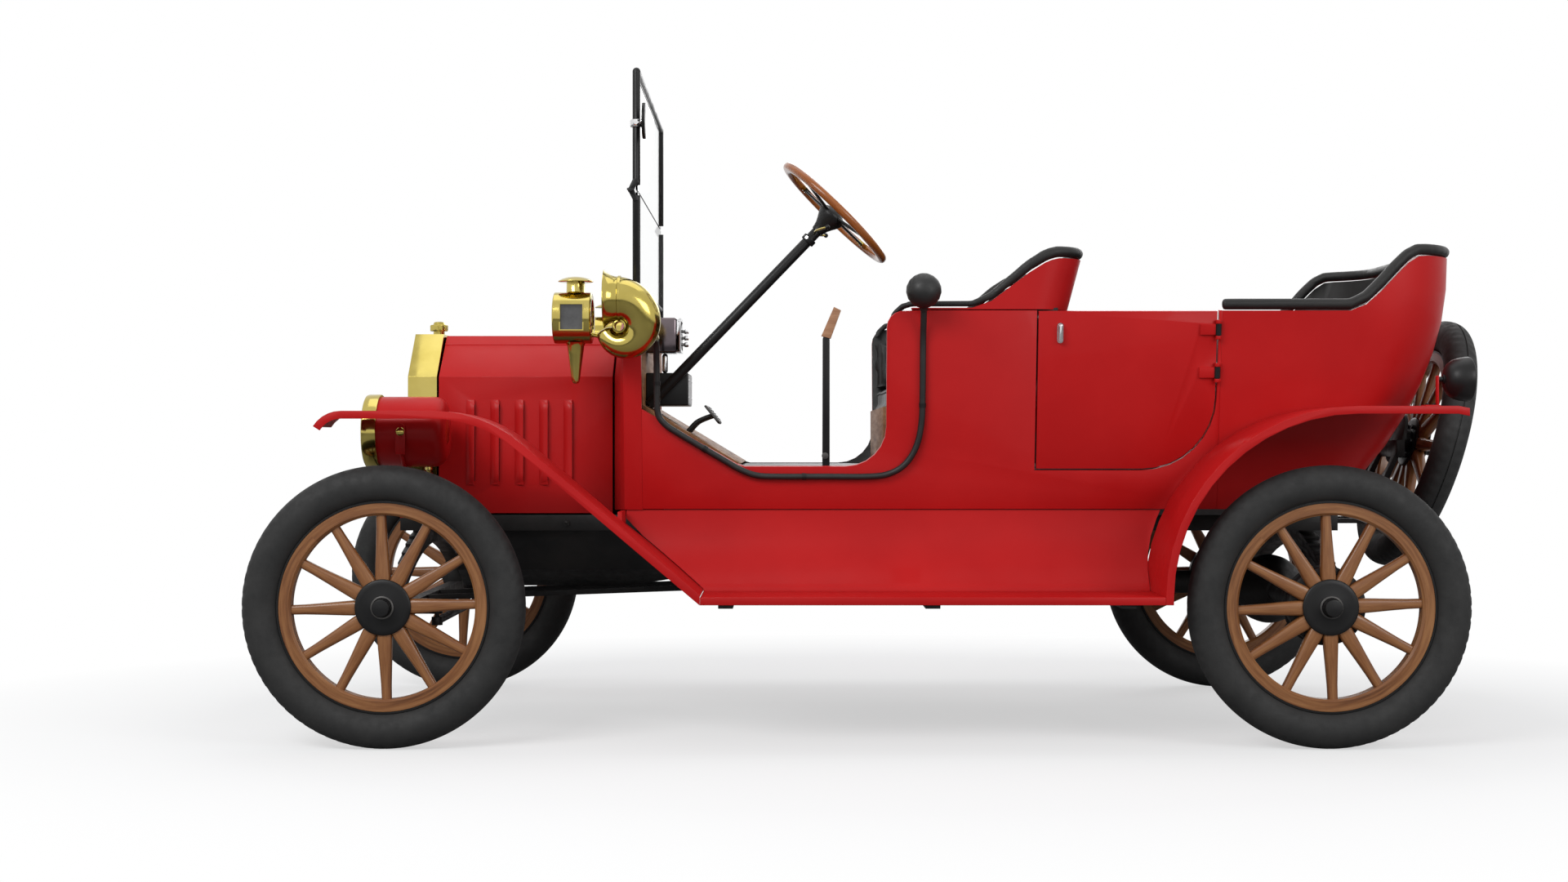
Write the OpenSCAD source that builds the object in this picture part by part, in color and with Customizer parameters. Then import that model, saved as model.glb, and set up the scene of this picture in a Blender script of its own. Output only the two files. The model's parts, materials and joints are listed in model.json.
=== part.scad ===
// Brass era touring car, four seats, open body, left-hand drive.
// Millimetres. +X forward, +Y to the car's left, +Z up, origin on the ground
// at the middle of the overall length and width.

/* [Wheels] */
// Distance between the front and rear axles
wheelbase = 2540; // [2400:10:2700]
// Distance between the wheel centre planes of one axle
track = 1422; // [1380:2:1460]
// Outer diameter of a tyre
tyre_d = 762; // [730:2:790]
// Greatest width of a tyre
tyre_w = 92; // [76:1:100]
// Radial height of a tyre above the wooden rim
tyre_h = 98; // [80:1:105]
// Radial depth of the wooden rim
felloe_h = 36; // [28:1:42]
// Width of the wooden rim
felloe_w = 44; // [38:1:52]
// Spokes in a wheel
spokes = 12; // [8:1:16]
// Width of a spoke at the hub
spoke_w_hub = 40; // [30:1:42]
// Width of a spoke at the rim
spoke_w_rim = 26; // [20:1:32]
// Thickness of a spoke along the axle
spoke_t = 34; // [26:1:40]
// Radius of the hub's flanges
hub_r = 75; // [66:1:80]
// Radius of the spindle that a wheel turns on
spindle_r = 14; // [12:0.5:18]

/* [Chassis] */
// Height of the frame rails' top face
rail_top_z = 615; // [605:1:625]
// Height of a frame rail's section
rail_h = 45; // [35:1:60]
// Width of a frame rail's section
rail_w = 32; // [26:1:40]
// Distance from the centre plane to a rail's outer face
rail_y = 330; // [322:1:334]
// Distance from the centre plane to a steering pivot
kingpin_y = 636; // [630:1:644]
// Length of a steering arm
steer_arm = 130; // [110:1:150]
// Thickness of one spring leaf
leaf_t = 7; // [5:0.5:8]
// Leaves in a spring
leaves = 7; // [5:1:8]

/* [Body] */
// Half the width of the body at the belt line
body_half_w = 518; // [505:1:525]
// Height of the belt line
belt_z = 1190; // [1170:1:1210]
// Height of the body's lower edge
body_bottom_z = 635; // [630:1:645]
// Height of the floor's top face
floor_z = 755; // [750:1:770]
// Thickness of the body walls
wall_t = 18; // [14:1:22]
// Inward lean of the body sides towards the floor, in degrees
side_lean = 8.2; // [6:0.1:9]
// Height of the rear seat back's rim
rear_rim_z = 1345; // [1320:1:1370]
// Height of the front seat back's rim
front_rim_z = 1337; // [1320:1:1350]
// Gap round a closed door
door_gap = 5; // [5:0.5:8]
// Length of a rear door
door_l = 497; // [470:1:510]

/* [Bonnet and radiator] */
// Half the width of the bonnet
bonnet_half_w = 330; // [322:1:336]
// Height of the bonnet's top
bonnet_top_z = 1143; // [1130:1:1155]
// Thickness of the bonnet's sheets
bonnet_t = 4; // [3:0.5:6]
// Depth of the radiator along the car
radiator_depth = 83; // [75:1:95]
// Louvres in one side of the bonnet
louvres = 5; // [3:1:6]

/* [Mudguards] */
// Distance from the centre plane to the mudguards' outer edge
guard_y = 800; // [785:1:810]
// Height of the front mudguards' top
front_guard_z = 907; // [890:1:920]
// Height of the rear mudguards' top
rear_guard_z = 920; // [905:1:935]
// Depth of the turned edge of mudguards and running boards
lip_h = 21; // [14:1:26]
// Thickness of the mudguards' sheet
guard_t = 4; // [3:0.5:6]
// Height of the running boards' top face
board_z = 413; // [405:1:425]

/* [Windscreen and lamps] */
// Height of the windscreen's top
screen_top_z = 1860; // [1820:1:1880]
// Diameter of the windscreen's tubes
screen_tube = 22; // [18:1:26]
// Distance from the centre plane to the windscreen's posts
screen_y = 549; // [535:1:556]
// Diameter of a headlamp's rim
headlamp_d = 209; // [190:1:215]
// Diameter of a side lamp's drum
side_lamp_d = 142; // [125:1:150]
// Diameter of the steering wheel
steering_d = 402; // [370:1:420]

/* [Hidden] */
$fn = 48;

tyre_r = tyre_d / 2;
rear_reach = 581;
front_x = (wheelbase + rear_reach - tyre_r) / 2;
rear_x = front_x - wheelbase;
wheel_y = track / 2;
rim_r = tyre_r - tyre_h;
felloe_r = rim_r - felloe_h;
run_gap = 0.3;
seat_gap = 0.3;
move_gap = 6;

red = [0.72, 0.11, 0.11];
black = [0.06, 0.06, 0.06];
brass = [0.80, 0.62, 0.28];
wood = [0.55, 0.33, 0.16];
rubber = [0.10, 0.10, 0.10];
steel = [0.35, 0.35, 0.36];
leather = [0.08, 0.07, 0.07];

function unit(v) = v / norm(v);
function tangent(p, i) = unit(p[min(i + 1, len(p) - 1)] - p[max(i - 1, 0)]);
function arc(cx, cy, r, a0, a1, n) = [for (k = [0:n]) let (a = a0 + (a1 - a0) * k / n) [cx + r * cos(a),
  cy + r * sin(a)]];

// A tube along the points p, with radius r or one radius for each point
module sweep(p, r, up, sides) {
  n = len(p);
  ring = [for (i = [0:n - 1]) let (
      t = tangent(p, i), s = unit(cross(t, up)), u = cross(s, t), q = is_list(r) ? r[i] : r)
    for (k = [0:sides - 1]) let (a = 360 * k / sides) p[i] + q * (cos(a) * s + sin(a) * u)];
  skin = [for (i = [0:n - 2], k = [0:sides - 1]) let (
      a = i * sides + k, b = i * sides + (k + 1) % sides, c = a + sides, d = b + sides)
    each [[a, b, c], [b, d, c]]];
  ends = [[for (k = [sides - 1:-1:0]) k], [for (k = [0:sides - 1]) (n - 1) * sides + k]];
  polyhedron(ring, concat(skin, ends));
}

// Both sides of the car
module both() {
  children();
  mirror([0, 1, 0]) children();
}

// An outline in X and Z, made y1 - y0 thick along Y
module slab(pts, y0, y1) {
  translate([0, y1, 0]) rotate([90, 0, 0]) linear_extrude(y1 - y0) polygon(pts);
}

// An outline in Y and Z, made x1 - x0 long along X
module profile(pts, x0, x1) {
  translate([x0, 0, 0]) rotate([90, 0, 90]) linear_extrude(x1 - x0) polygon(pts);
}

module bar_x(x0, x1, y, z, r) {
  translate([x0, y, z]) rotate([0, 90, 0]) cylinder(h = x1 - x0, r = r);
}

module bar_y(y0, y1, x, z, r) {
  translate([x, y1, z]) rotate([90, 0, 0]) cylinder(h = y1 - y0, r = r);
}

// Wheels

hub_flange_t = 6;
hub_cap_r = 25;
hub_cap_l = 32;
hub_barrel_r = 34;
hub_back_l = 34;
drum_r = 105;
drum_l = 36;
drum_t = 5;
drum_sunk = 1.5;
spoke_in_r = 30;

module tyre_shape() {
  mid_r = (tyre_r + rim_r) / 2;
  half_h = tyre_h / 2;
  half_w = tyre_w / 2;
  foot_w = felloe_w / 2 - 2;
  crown = [for (a = [-75:15:255]) if (sin(a) > -0.72) [mid_r + half_h * sin(a), half_w * cos(a)]];
  rotate([90, 0, 0]) rotate_extrude($fn = 72)
    polygon(concat([[rim_r, -foot_w], [rim_r, foot_w]], [for (p = crown) [p.x, p.y]]));
}

// The wooden wheel, with its axle along Y and its outer face towards +Y
module wheel_shape(drum) {
  difference() {
    union() {
      rotate([90, 0, 0]) difference() {
        cylinder(h = felloe_w, r = rim_r, center = true, $fn = 96);
        cylinder(h = felloe_w + 2, r = felloe_r, center = true, $fn = 96);
      }
      for (k = [0:spokes - 1]) rotate([0, 360 * (k + 0.06) / spokes, 0])
        translate([0, spoke_t / 2, 0]) rotate([90, 0, 0]) linear_extrude(spoke_t)
          polygon([[-spoke_w_hub / 2 + 11, spoke_in_r], [-spoke_w_hub / 2, hub_r],
            [-spoke_w_rim / 2, felloe_r + 3],
                   [spoke_w_rim / 2, felloe_r + 3], [spoke_w_hub / 2, hub_r],
                     [spoke_w_hub / 2 - 11, spoke_in_r]]);
      bar_y(-spoke_t / 2 - hub_flange_t, spoke_t / 2 + hub_flange_t, 0, 0, hub_r);
      bar_y(0, spoke_t / 2 + hub_flange_t + hub_cap_l, 0, 0, hub_cap_r);
      bar_y(-spoke_t / 2 - hub_back_l, 0, 0, 0, hub_barrel_r);
      if (drum) rotate([90, 0, 0]) translate([0, 0, spoke_t / 2 - drum_sunk]) difference() {
        cylinder(h = drum_l + drum_sunk, r = drum_r);
        translate([0, 0, drum_t + drum_sunk]) cylinder(h = drum_l, r = drum_r - drum_t);
      }
    }
    bar_y(-spoke_t / 2 - hub_back_l - 1, spoke_t / 2 + hub_flange_t + 1, 0, 0, spindle_r + run_gap);
  }
}

module wheel_at(x, side, drum) {
  translate([x, side * wheel_y, tyre_r]) mirror([0, side < 0 ? 1 : 0, 0]) wheel_shape(drum);
}

module wheel_front_left() { color(wood) wheel_at(front_x, 1, false); }
module wheel_front_right() { color(wood) wheel_at(front_x, -1, false); }
module wheel_rear_left() { color(wood) wheel_at(rear_x, 1, true); }
module wheel_rear_right() { color(wood) wheel_at(rear_x, -1, true); }

module tyre_at(x, side) { translate([x, side * wheel_y, tyre_r]) tyre_shape(); }
module tyre_front_left() { color(rubber) tyre_at(front_x, 1); }
module tyre_front_right() { color(rubber) tyre_at(front_x, -1); }
module tyre_rear_left() { color(rubber) tyre_at(rear_x, 1); }
module tyre_rear_right() { color(rubber) tyre_at(rear_x, -1); }

// Spare wheel, leaning back behind the body

spare_lean = 15.5;
spare_z = 820;
spare_x = rear_x - rear_reach + (tyre_r - tyre_w / 2) * sin(spare_lean) + tyre_w / 2;
carrier_plate_t = 10;
carrier_back = spoke_t / 2 + hub_back_l;

module on_spare() {
  translate([spare_x, 0, spare_z]) rotate([0, -spare_lean, 0]) rotate([0, 0, 90]) children();
}

module spare_wheel() { color(wood) on_spare() wheel_shape(false); }
module spare_tyre() { color(rubber) on_spare() tyre_shape(); }

carrier_y = 90;
carrier_z = rail_top_z - rail_h + 12;
module spare_carrier() {
  carrier_x = rear_cross_x - cross_w / 2 - seat_gap;
  color(black) {
    on_spare() {
      bar_y(-carrier_back - carrier_plate_t, -carrier_back, 0, 0, hub_r);
      bar_y(-carrier_back - 1, spoke_t / 2, 0, 0, spindle_r);
    }
    both() {
      slab([[carrier_x, carrier_z], [carrier_x, carrier_z + 14], [-1436, carrier_z + 14],
        [spare_x + 80, spare_z - 12],
            [spare_x + 66, spare_z - 12], [-1450, carrier_z]], carrier_y - 15, carrier_y + 15);
    }
    translate([spare_x + 62, -carrier_y - 20, spare_z - 40]) cube([24, 2 * carrier_y + 40, 50]);
  }
}

// Chassis

frame_front_x = front_x + 27;
rear_cross_x = rear_x - 80;
frame_rear_x = rear_cross_x - 45;
spring_span = 500;
spring_drop = 110;
spring_w = 45;
spring_eye_z = 415;
spring_r = (pow(spring_span, 2) + pow(spring_drop, 2)) / (2 * spring_drop);
spring_half_a = asin(spring_span / spring_r);
spring_top_z = spring_eye_z + spring_drop + leaves * leaf_t;
cross_w = 54;
crank_z = 593;
crank_r = 11;
bracket_w = 40;
bracket_t = 10;
bracket_xs = [430, -120, -640];

module chassis_frame() {
  color(black) {
    both() translate([frame_rear_x, rail_y - rail_w, rail_top_z - rail_h])
      cube([frame_front_x - frame_rear_x, rail_w, rail_h]);
    difference() {
      for (x = [front_x, 560, -360, rear_cross_x])
        translate([x - cross_w / 2, -rail_y + 1, spring_top_z])
          cube([cross_w, 2 * rail_y - 2, rail_top_z - 3 - spring_top_z]);
      bar_x(front_x - cross_w, front_x + cross_w, 0, crank_z, crank_r);
    }
  }
}

module board_brackets() {
  out = rail_y + seat_gap;
  foot = board_z - lip_h;
  color(black) both() for (x = bracket_xs)
    profile([[out, rail_top_z - 6], [out + bracket_t, rail_top_z - 6],
      [out + bracket_t, rail_top_z - rail_h],
             [out + 110, foot], [guard_y - 12, foot], [guard_y - 12, foot - bracket_t],
             [out + 100, foot - bracket_t], [out, rail_top_z - rail_h - 14]],
            x, x + bracket_w);
}

pan_top_z = 583;
pan_x0 = 619;
pan_x1 = 1245;
bell_z = 470;
bell_r = 70;
module engine() {
  color(black) {
    translate([730, -130, pan_top_z - 1]) cube([480, 260, 420]);
    intersection() {
      profile([[-120, 398], [120, 398], [240, 452], [rail_y - rail_w - 1, 555],
        [rail_y - rail_w - 1, pan_top_z],
               [-rail_y + rail_w + 1, pan_top_z], [-rail_y + rail_w + 1, 555], [-240, 452]], pan_x0,
                 pan_x1);
      slab([[pan_x0, 422], [748, 398], [pan_x1, 398], [pan_x1, pan_top_z], [pan_x0, pan_top_z]], -400, 400);
    }
    bar_x(480, pan_x0 + 1, 0, bell_z, bell_r);
  }
}

module leaf_stack() {
  cz = spring_eye_z + spring_drop - spring_r;
  rotate([90, 0, 90]) linear_extrude(spring_w, center = true)
    for (k = [0:leaves - 1]) let (a = spring_half_a * (1 - k * 0.12), r = spring_r + k * leaf_t)
      polygon(concat(arc(0, cz, r, 90 - a, 90 + a, 16), arc(0, cz, r + leaf_t + 0.01, 90 + a, 90 - a, 16)));
}

module shackles(x, z0) {
  both() translate([x - spring_w / 2, spring_span - 10, z0]) cube([spring_w, 20, spring_eye_z + 4 - z0]);
}

module springs() {
  color(black) {
    translate([front_x, 0, 0]) leaf_stack();
    shackles(front_x, axle_z + axle_h / 2);
    translate([rear_cross_x, 0, 0]) leaf_stack();
    shackles(rear_cross_x, rear_perch_z);
  }
}

// Front axle and steering

axle_z = 350;
axle_h = 40;
axle_t = 32;
ear_t = 14;
kingpin_r = 9;
knuckle_h = 56;
knuckle_r = 17;
ear_gap = 2;
ear_top = tyre_r + knuckle_h / 2 + ear_gap;
ear_bottom = tyre_r - knuckle_h / 2 - ear_gap;
yoke_y = kingpin_y - 36;
rod_end_x = 530;
rod_end_z = bell_z - bell_r - seat_gap;

module front_axle() {
  color(black) {
    translate([front_x - axle_t / 2, -yoke_y - 2, axle_z - axle_h / 2])
      cube([axle_t, 2 * yoke_y + 4, axle_h]);
    both() {
      translate([front_x - axle_t / 2, yoke_y - 8, ear_bottom - ear_t])
        cube([axle_t, 14, ear_top - ear_bottom + 2 * ear_t]);
      for (z = [ear_bottom - ear_t, ear_top]) {
        translate([front_x - axle_t / 2, yoke_y, z]) cube([axle_t, kingpin_y - yoke_y, ear_t]);
        translate([front_x, kingpin_y, z]) cylinder(h = ear_t, r = axle_t / 2);
      }
      translate([front_x, kingpin_y, ear_bottom - ear_t]) cylinder(h = ear_top - ear_bottom + 2 * ear_t,
        r = kingpin_r);
    }
    both() slab([[front_x - 5, axle_z + 19], [front_x - 5, axle_z + 3], [rod_end_x, rod_end_z - 16],
                 [rod_end_x, rod_end_z]], 96, 112);
    translate([rod_end_x, -112, rod_end_z - 16]) cube([30, 224, 16]);
  }
}

arm_t = 14;
arm_z = tyre_r - knuckle_h / 2 + 4;
tie_x = front_x - steer_arm;
tie_r = 11;
tie_pin_r = 6;
tie_z = arm_z - 20;

module knuckle_shape() {
  difference() {
    union() {
      translate([front_x, kingpin_y, tyre_r - knuckle_h / 2]) cylinder(h = knuckle_h, r = knuckle_r);
      bar_y(kingpin_y, wheel_y + spoke_t / 2, front_x, tyre_r, spindle_r);
      translate([tie_x, kingpin_y - 9, arm_z]) cube([steer_arm, 18, arm_t]);
      translate([tie_x, kingpin_y, arm_z]) cylinder(h = arm_t, r = 15);
    }
    translate([front_x, kingpin_y, 0]) cylinder(h = 2 * tyre_r, r = kingpin_r + run_gap);
    translate([tie_x, kingpin_y, arm_z - 1]) cylinder(h = arm_t + 2, r = tie_pin_r + run_gap);
  }
}

module knuckle_left() { color(black) knuckle_shape(); }
module knuckle_right() { color(black) mirror([0, 1, 0]) knuckle_shape(); }

module tie_rod() {
  color(black) {
    bar_y(-kingpin_y + 12, kingpin_y - 12, tie_x, tie_z, tie_r);
    both() {
      translate([tie_x, kingpin_y, tie_z - tie_r]) cylinder(h = 2 * tie_r, r = 15);
      translate([tie_x, kingpin_y, tie_z]) cylinder(h = arm_z + arm_t + 6 - tie_z, r = tie_pin_r);
      translate([tie_x, kingpin_y, arm_z + arm_t + 2]) cylinder(h = 6, r = 11);
    }
  }
}

// Rear axle

diff_r = 103;
axle_tube_r = 32;
plate_y = wheel_y - spoke_t / 2 - drum_l - 8;
rear_perch_z = tyre_r + 20;

module rear_axle() {
  color(black) {
    bar_y(-plate_y, plate_y, rear_x, tyre_r, axle_tube_r);
    translate([rear_x, 0, tyre_r]) rotate([90, 0, 0]) rotate_extrude()
      polygon([[0, -150], [axle_tube_r + 8, -150], [diff_r * 0.86, -52], [diff_r, -22], [diff_r, 22],
               [diff_r * 0.86, 52], [axle_tube_r + 8, 150], [0, 150]]);
    bar_x(rear_x, 480, 0, tyre_r + 20, 34);
    both() {
      bar_y(plate_y - 6, plate_y, rear_x, tyre_r, drum_r + 4);
      bar_y(plate_y - 1, wheel_y + spoke_t / 2, rear_x, tyre_r, spindle_r);
      translate([rear_cross_x - 20, spring_span - 30, rear_perch_z - 14]) cube([110, 60, 14]);
      translate([rear_x, spring_span, tyre_r]) cylinder(h = 20, r = 26);
    }
  }
}

// Mudguards, running boards and aprons

guard_in_front = 590;
guard_in_rear = side_w(rear_guard_z) + 3;
guard_foot_x = 740;
guard_foot_z = 596;
apron_top_y = side_w(body_bottom_z) - 10;
guard_slope = 40.3;
board_front_x = front_x - 852;
guard_knee_x = board_front_x + (front_guard_z - board_z - 6) / tan(guard_slope);
guard_bend_r = 366;
guard_bend_l = guard_bend_r * tan(guard_slope / 2);
guard_nose_x = 1468;
guard_nose_r = 87;
guard_nose_a = 32;
rear_arc_r = 510;
rear_arc_x = rear_x - 56;
rear_arc_z = rear_guard_z - rear_arc_r;
rear_guard_end = -1520;
board_back_x = rear_arc_x + rear_arc_r + seat_gap;

// The front mudguard's contour, d inside its outer face
function front_contour(d) = concat(
  arc(guard_nose_x, front_guard_z - guard_nose_r, guard_nose_r - d, guard_nose_a, 90, 5),
  arc(guard_knee_x + guard_bend_l, front_guard_z - guard_bend_r, guard_bend_r - d, 90, 90 + guard_slope, 6),
  [[board_front_x, board_z + 6 - d / cos(guard_slope)]]);

// The rear mudguard's contour, d inside its outer face
function rear_contour(d) = concat(
  [[rear_arc_x + rear_arc_r - d, board_z - lip_h]],
  arc(rear_arc_x, rear_arc_z, rear_arc_r - d, 0, 90, 12),
  [[rear_guard_end + 30, rear_guard_z - d], [rear_guard_end, rear_guard_z - d - 6]]);

function band(a, b) = concat(a, [for (i = [len(b) - 1:-1:0]) b[i]]);

module front_mudguards() {
  color(red) both() {
    slab(band(front_contour(0), front_contour(guard_t)), guard_in_front, guard_y);
    slab(band(front_contour(0), front_contour(lip_h)), guard_y - guard_t, guard_y);
    slab([[board_front_x, board_z], [board_front_x, board_z + 5], [guard_foot_x, guard_foot_z],
          [guard_foot_x, apron_top_z - 1], [guard_foot_x + 12, apron_top_z - 1],
            [guard_foot_x + 12, guard_foot_z]],
         apron_top_y + 22, guard_in_front + 1);
  }
}

module rear_mudguards() {
  color(red) both() {
    slab(band(rear_contour(0), rear_contour(guard_t)), guard_in_rear, guard_y);
    slab(band(rear_contour(0), rear_contour(lip_h)), guard_y - guard_t, guard_y);
  }
}

board_in_y = apron_top_y + 132;
module running_boards() {
  color(red) both() {
    translate([board_back_x, board_in_y, board_z - 6])
      cube([board_front_x - seat_gap - board_back_x, guard_y - guard_t + 1 - board_in_y, 6]);
    translate([board_back_x, guard_y - guard_t, board_z - lip_h])
      cube([board_front_x - seat_gap - board_back_x, guard_t, lip_h]);
    translate([board_back_x, board_in_y, board_z - lip_h])
      cube([board_front_x - seat_gap - board_back_x, 20, lip_h]);
  }
}

// A curved panel from the body's edge to beside the running board, cut along both mudguards
apron_top_z = body_bottom_z - 2;
apron_t = 5;
apron_gap = 0.6;
apron_foot_y = board_in_y - seat_gap - apron_t;
function apron_front_x(z) = board_front_x - apron_gap
  + max(0, z - board_z - 7) * (guard_foot_x - board_front_x) / (guard_foot_z - board_z - 5);
function apron_back_x(z) = rear_arc_x + sqrt(pow(rear_arc_r + apron_gap, 2) - pow(max(0, z - rear_arc_z),
  2));
apron_line = [[apron_foot_y, board_z - 6], [apron_foot_y, board_z + 6], [apron_foot_y - 14, board_z + 22],
  [apron_top_y + 72, board_z + 57], [apron_top_y + 34, board_z + 102], [apron_top_y + 12, board_z + 147],
  [apron_top_y + 2, apron_top_z - 24], [apron_top_y, apron_top_z]];
function apron_wall(d) = [for (front = [true, false])
  [for (p = apron_line) [front ? min(apron_front_x(p.y), guard_foot_x - apron_gap) : apron_back_x(p.y),
    p.x + d, p.y]]];
module aprons() { color(red) both() wall_skin(apron_wall(apron_t), apron_wall(0)); }

// Radiator

radiator_front_x = front_x + 5;
radiator_back_x = radiator_front_x - radiator_depth;
radiator_z = rail_top_z + seat_gap;
radiator_top_w = 205;
shoulder_z = 1012;
shell_t = 34;

module radiator_outline(inset, top_extra) {
  w = bonnet_half_w - inset;
  polygon([[-w, radiator_z + inset], [w, radiator_z + inset], [w, shoulder_z - inset * 0.4 - top_extra],
           [radiator_top_w - inset * 0.4, bonnet_top_z - 3 - inset - top_extra],
           [-radiator_top_w + inset * 0.4, bonnet_top_z - 3 - inset - top_extra],
             [-w, shoulder_z - inset * 0.4 - top_extra]]);
}

module x_extrude(x0, x1) {
  translate([x0, 0, 0]) rotate([90, 0, 90]) linear_extrude(x1 - x0) children();
}

module radiator_shell() {
  color(brass) bar_x(cowl_front_x + seat_gap, radiator_back_x + 2, 0, centre_z, hinge_r);
  color(brass) filler_cap();
  color(brass) difference() {
    x_extrude(radiator_back_x, radiator_front_x) radiator_outline(0, 0);
    x_extrude(radiator_back_x - 1, radiator_front_x + 1) radiator_outline(shell_t, 60);
  }
}

module radiator_core() {
  color(black) x_extrude(radiator_back_x + 4, radiator_front_x - 12) radiator_outline(shell_t + seat_gap,
    60);
}

cap_x = 1340;
module filler_cap() {
  translate([cap_x, 0, bonnet_top_z - 5]) {
    cylinder(h = 22, r = 17);
    translate([0, 0, 21]) cylinder(h = 18, r = 26);
    translate([0, 0, 38]) cylinder(h = 10, r1 = 20, r2 = 9);
  }
}

// Bonnet

bonnet_front_x = radiator_back_x - move_gap;
bonnet_back_x = 787;
hinge_y = 215;
hinge_z = 1108;
hinge_r = 3.5;
bonnet_bottom_z = rail_top_z + door_gap;
louvre_h = 244;
louvre_w = 26;
louvre_pitch = 70;
louvre_x = 905;
louvre_z = 701;

hinge_edge = hinge_r + run_gap;
centre_z = bonnet_top_z - bonnet_t / 2;
slope_u = unit([bonnet_half_w - bonnet_t / 2 - hinge_y, shoulder_z - hinge_z]);
slope_n = [-slope_u.y, slope_u.x] * bonnet_t / 2;

// The top sheet turns on a rod along the centre line and carries the shoulder's rod
module bonnet_top_shape() {
  profile([[hinge_edge, bonnet_top_z - bonnet_t], [hinge_edge, bonnet_top_z], [185, bonnet_top_z - 7],
           [hinge_y + 1, hinge_z + 2], [hinge_y - 3, hinge_z], [182, bonnet_top_z - 7 - bonnet_t]],
          bonnet_back_x, bonnet_front_x);
  bar_x(bonnet_back_x, bonnet_front_x, hinge_y, hinge_z, hinge_r);
}

module bonnet_side_shape() {
  edge = [hinge_y, hinge_z] + slope_u * hinge_edge;
  profile([edge + slope_n, [bonnet_half_w, shoulder_z], [bonnet_half_w, bonnet_bottom_z],
           [bonnet_half_w - bonnet_t, bonnet_bottom_z], [bonnet_half_w - bonnet_t, shoulder_z - 2],
             edge - slope_n],
          bonnet_back_x, bonnet_front_x);
  for (k = [0:louvres - 1]) translate([louvre_x + k * louvre_pitch - 3, bonnet_half_w - 0.5, louvre_z])
    linear_extrude(louvre_h) polygon([[0, 0], [louvre_w, 0], [3, 9], [0, 9]]);
}

module bonnet_top_left() { color(red) bonnet_top_shape(); }
module bonnet_top_right() { color(red) mirror([0, 1, 0]) bonnet_top_shape(); }
module bonnet_side_left() { color(red) bonnet_side_shape(); }
module bonnet_side_right() { color(red) mirror([0, 1, 0]) bonnet_side_shape(); }

// Cowl and dashboard

cowl_front_x = 781;
cowl_x = 744;
cowl_back_x = 694;
cowl_top_z = belt_z - 10;

function side_w(z) = body_half_w - (belt_z - min(z, belt_z)) * tan(side_lean);
function cowl_half(d) = [[side_w(body_bottom_z) - d, body_bottom_z - (d > 0 ? 7 : 1.7)],
  [side_w(1062) - d, 1062 - d * 0.3],
                         [440 - d * 0.6, cowl_top_z - d], [0, cowl_top_z + 15 - d]];
function cowl_outline(d) = concat(cowl_half(d),
  [for (i = [2:-1:0]) [-cowl_half(d)[i].x, cowl_half(d)[i].y]]);
function bonnet_half(d) = [[bonnet_half_w - d, bonnet_bottom_z + 10],
  [bonnet_half_w - d, shoulder_z - d * 0.3],
                           [190 - d * 0.4, bonnet_top_z - 6 - d], [0, bonnet_top_z - d]];
function bonnet_outline(d) = concat(bonnet_half(d),
  [for (i = [2:-1:0]) [-bonnet_half(d)[i].x, bonnet_half(d)[i].y]]);

module cowl() {
  color(red) difference() {
    union() {
      profile(cowl_outline(0), cowl_back_x, cowl_x);
      hull() {
        profile(cowl_outline(0), cowl_x - 0.1, cowl_x);
        profile(bonnet_outline(0), cowl_front_x - 1, cowl_front_x);
      }
    }
    profile(cowl_outline(wall_t), cowl_back_x - 1, cowl_x - 4);
    profile([[-rail_y, 0], [rail_y, 0], [rail_y, body_bottom_z + 3], [-rail_y, body_bottom_z + 3]], 0, 900);
    profile([for (p = bonnet_outline(26)) [p.x, p.y]], 0, 900);
  }
}

dash_t = 12;
toe_x = 418;
toe_top_z = 930;
function toe_z(x) = floor_z + 8 + (x - toe_x) * (toe_top_z - floor_z - 8) / (cowl_back_x + 1 - toe_x);
module dashboard() {
  color(wood) {
    profile([for (p = cowl_outline(wall_t + seat_gap)) [p.x, max(p.y, 912)]], cowl_back_x,
      cowl_back_x + dash_t);
    slab([[toe_x + 12, floor_z + seat_gap], [cowl_back_x + 1, toe_top_z - 15], [cowl_back_x + 1, toe_top_z],
          [toe_x, floor_z + seat_gap + 8]], -side_w(floor_z) + wall_t + 2, side_w(floor_z) - wall_t - 2);
  }
}

// Body sides, doors and floor

// Frame of a leaning side plate: x along the car, y up the plate from the belt line, z inwards
module on_side() {
  translate([0, body_half_w, belt_z]) rotate([-side_lean, 0, 0]) rotate([90, 0, 0]) children();
}

function on_plate(pts) = [for (p = pts) [p.x, (p.y - belt_z) / cos(side_lean)]];

door_front_x = -414;
door_back_x = door_front_x - door_l;
door_bottom_z = 749;
door_top_z = belt_z - 2;
door_corner_r = 200;
tub_front_x = -925;

function door_outline(g) = concat(
  [[door_front_x + g, door_top_z + g * 9], [door_back_x - g, door_top_z + g * 9]],
  arc(door_back_x + door_corner_r, door_bottom_z + door_corner_r, door_corner_r + g, 180, 270, 8),
  [[door_front_x + g, door_bottom_z - g]]);

panel_corner = [-37, belt_z - 47];
panel_corner_r = 45;
panel_outline = concat(
  [[cowl_back_x - seat_gap, body_bottom_z], [cowl_back_x - seat_gap, 915], [428, 762], [405, floor_z],
    [120, floor_z]],
  arc(120, floor_z + 112, 112, 270, 180, 6),
  arc(panel_corner.x, panel_corner.y, panel_corner_r, 0, 80, 4),
  [[-80, belt_z], [tub_front_x + seat_gap, belt_z], [tub_front_x + seat_gap, body_bottom_z]]);

hinge_zs = [1138, 1019];
door_pin_r = 4;
door_knuckle_r = 8;
door_knuckle_l = 30;
door_pin_out = 8;
door_pin_x = door_back_x - door_gap / 2;

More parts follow.
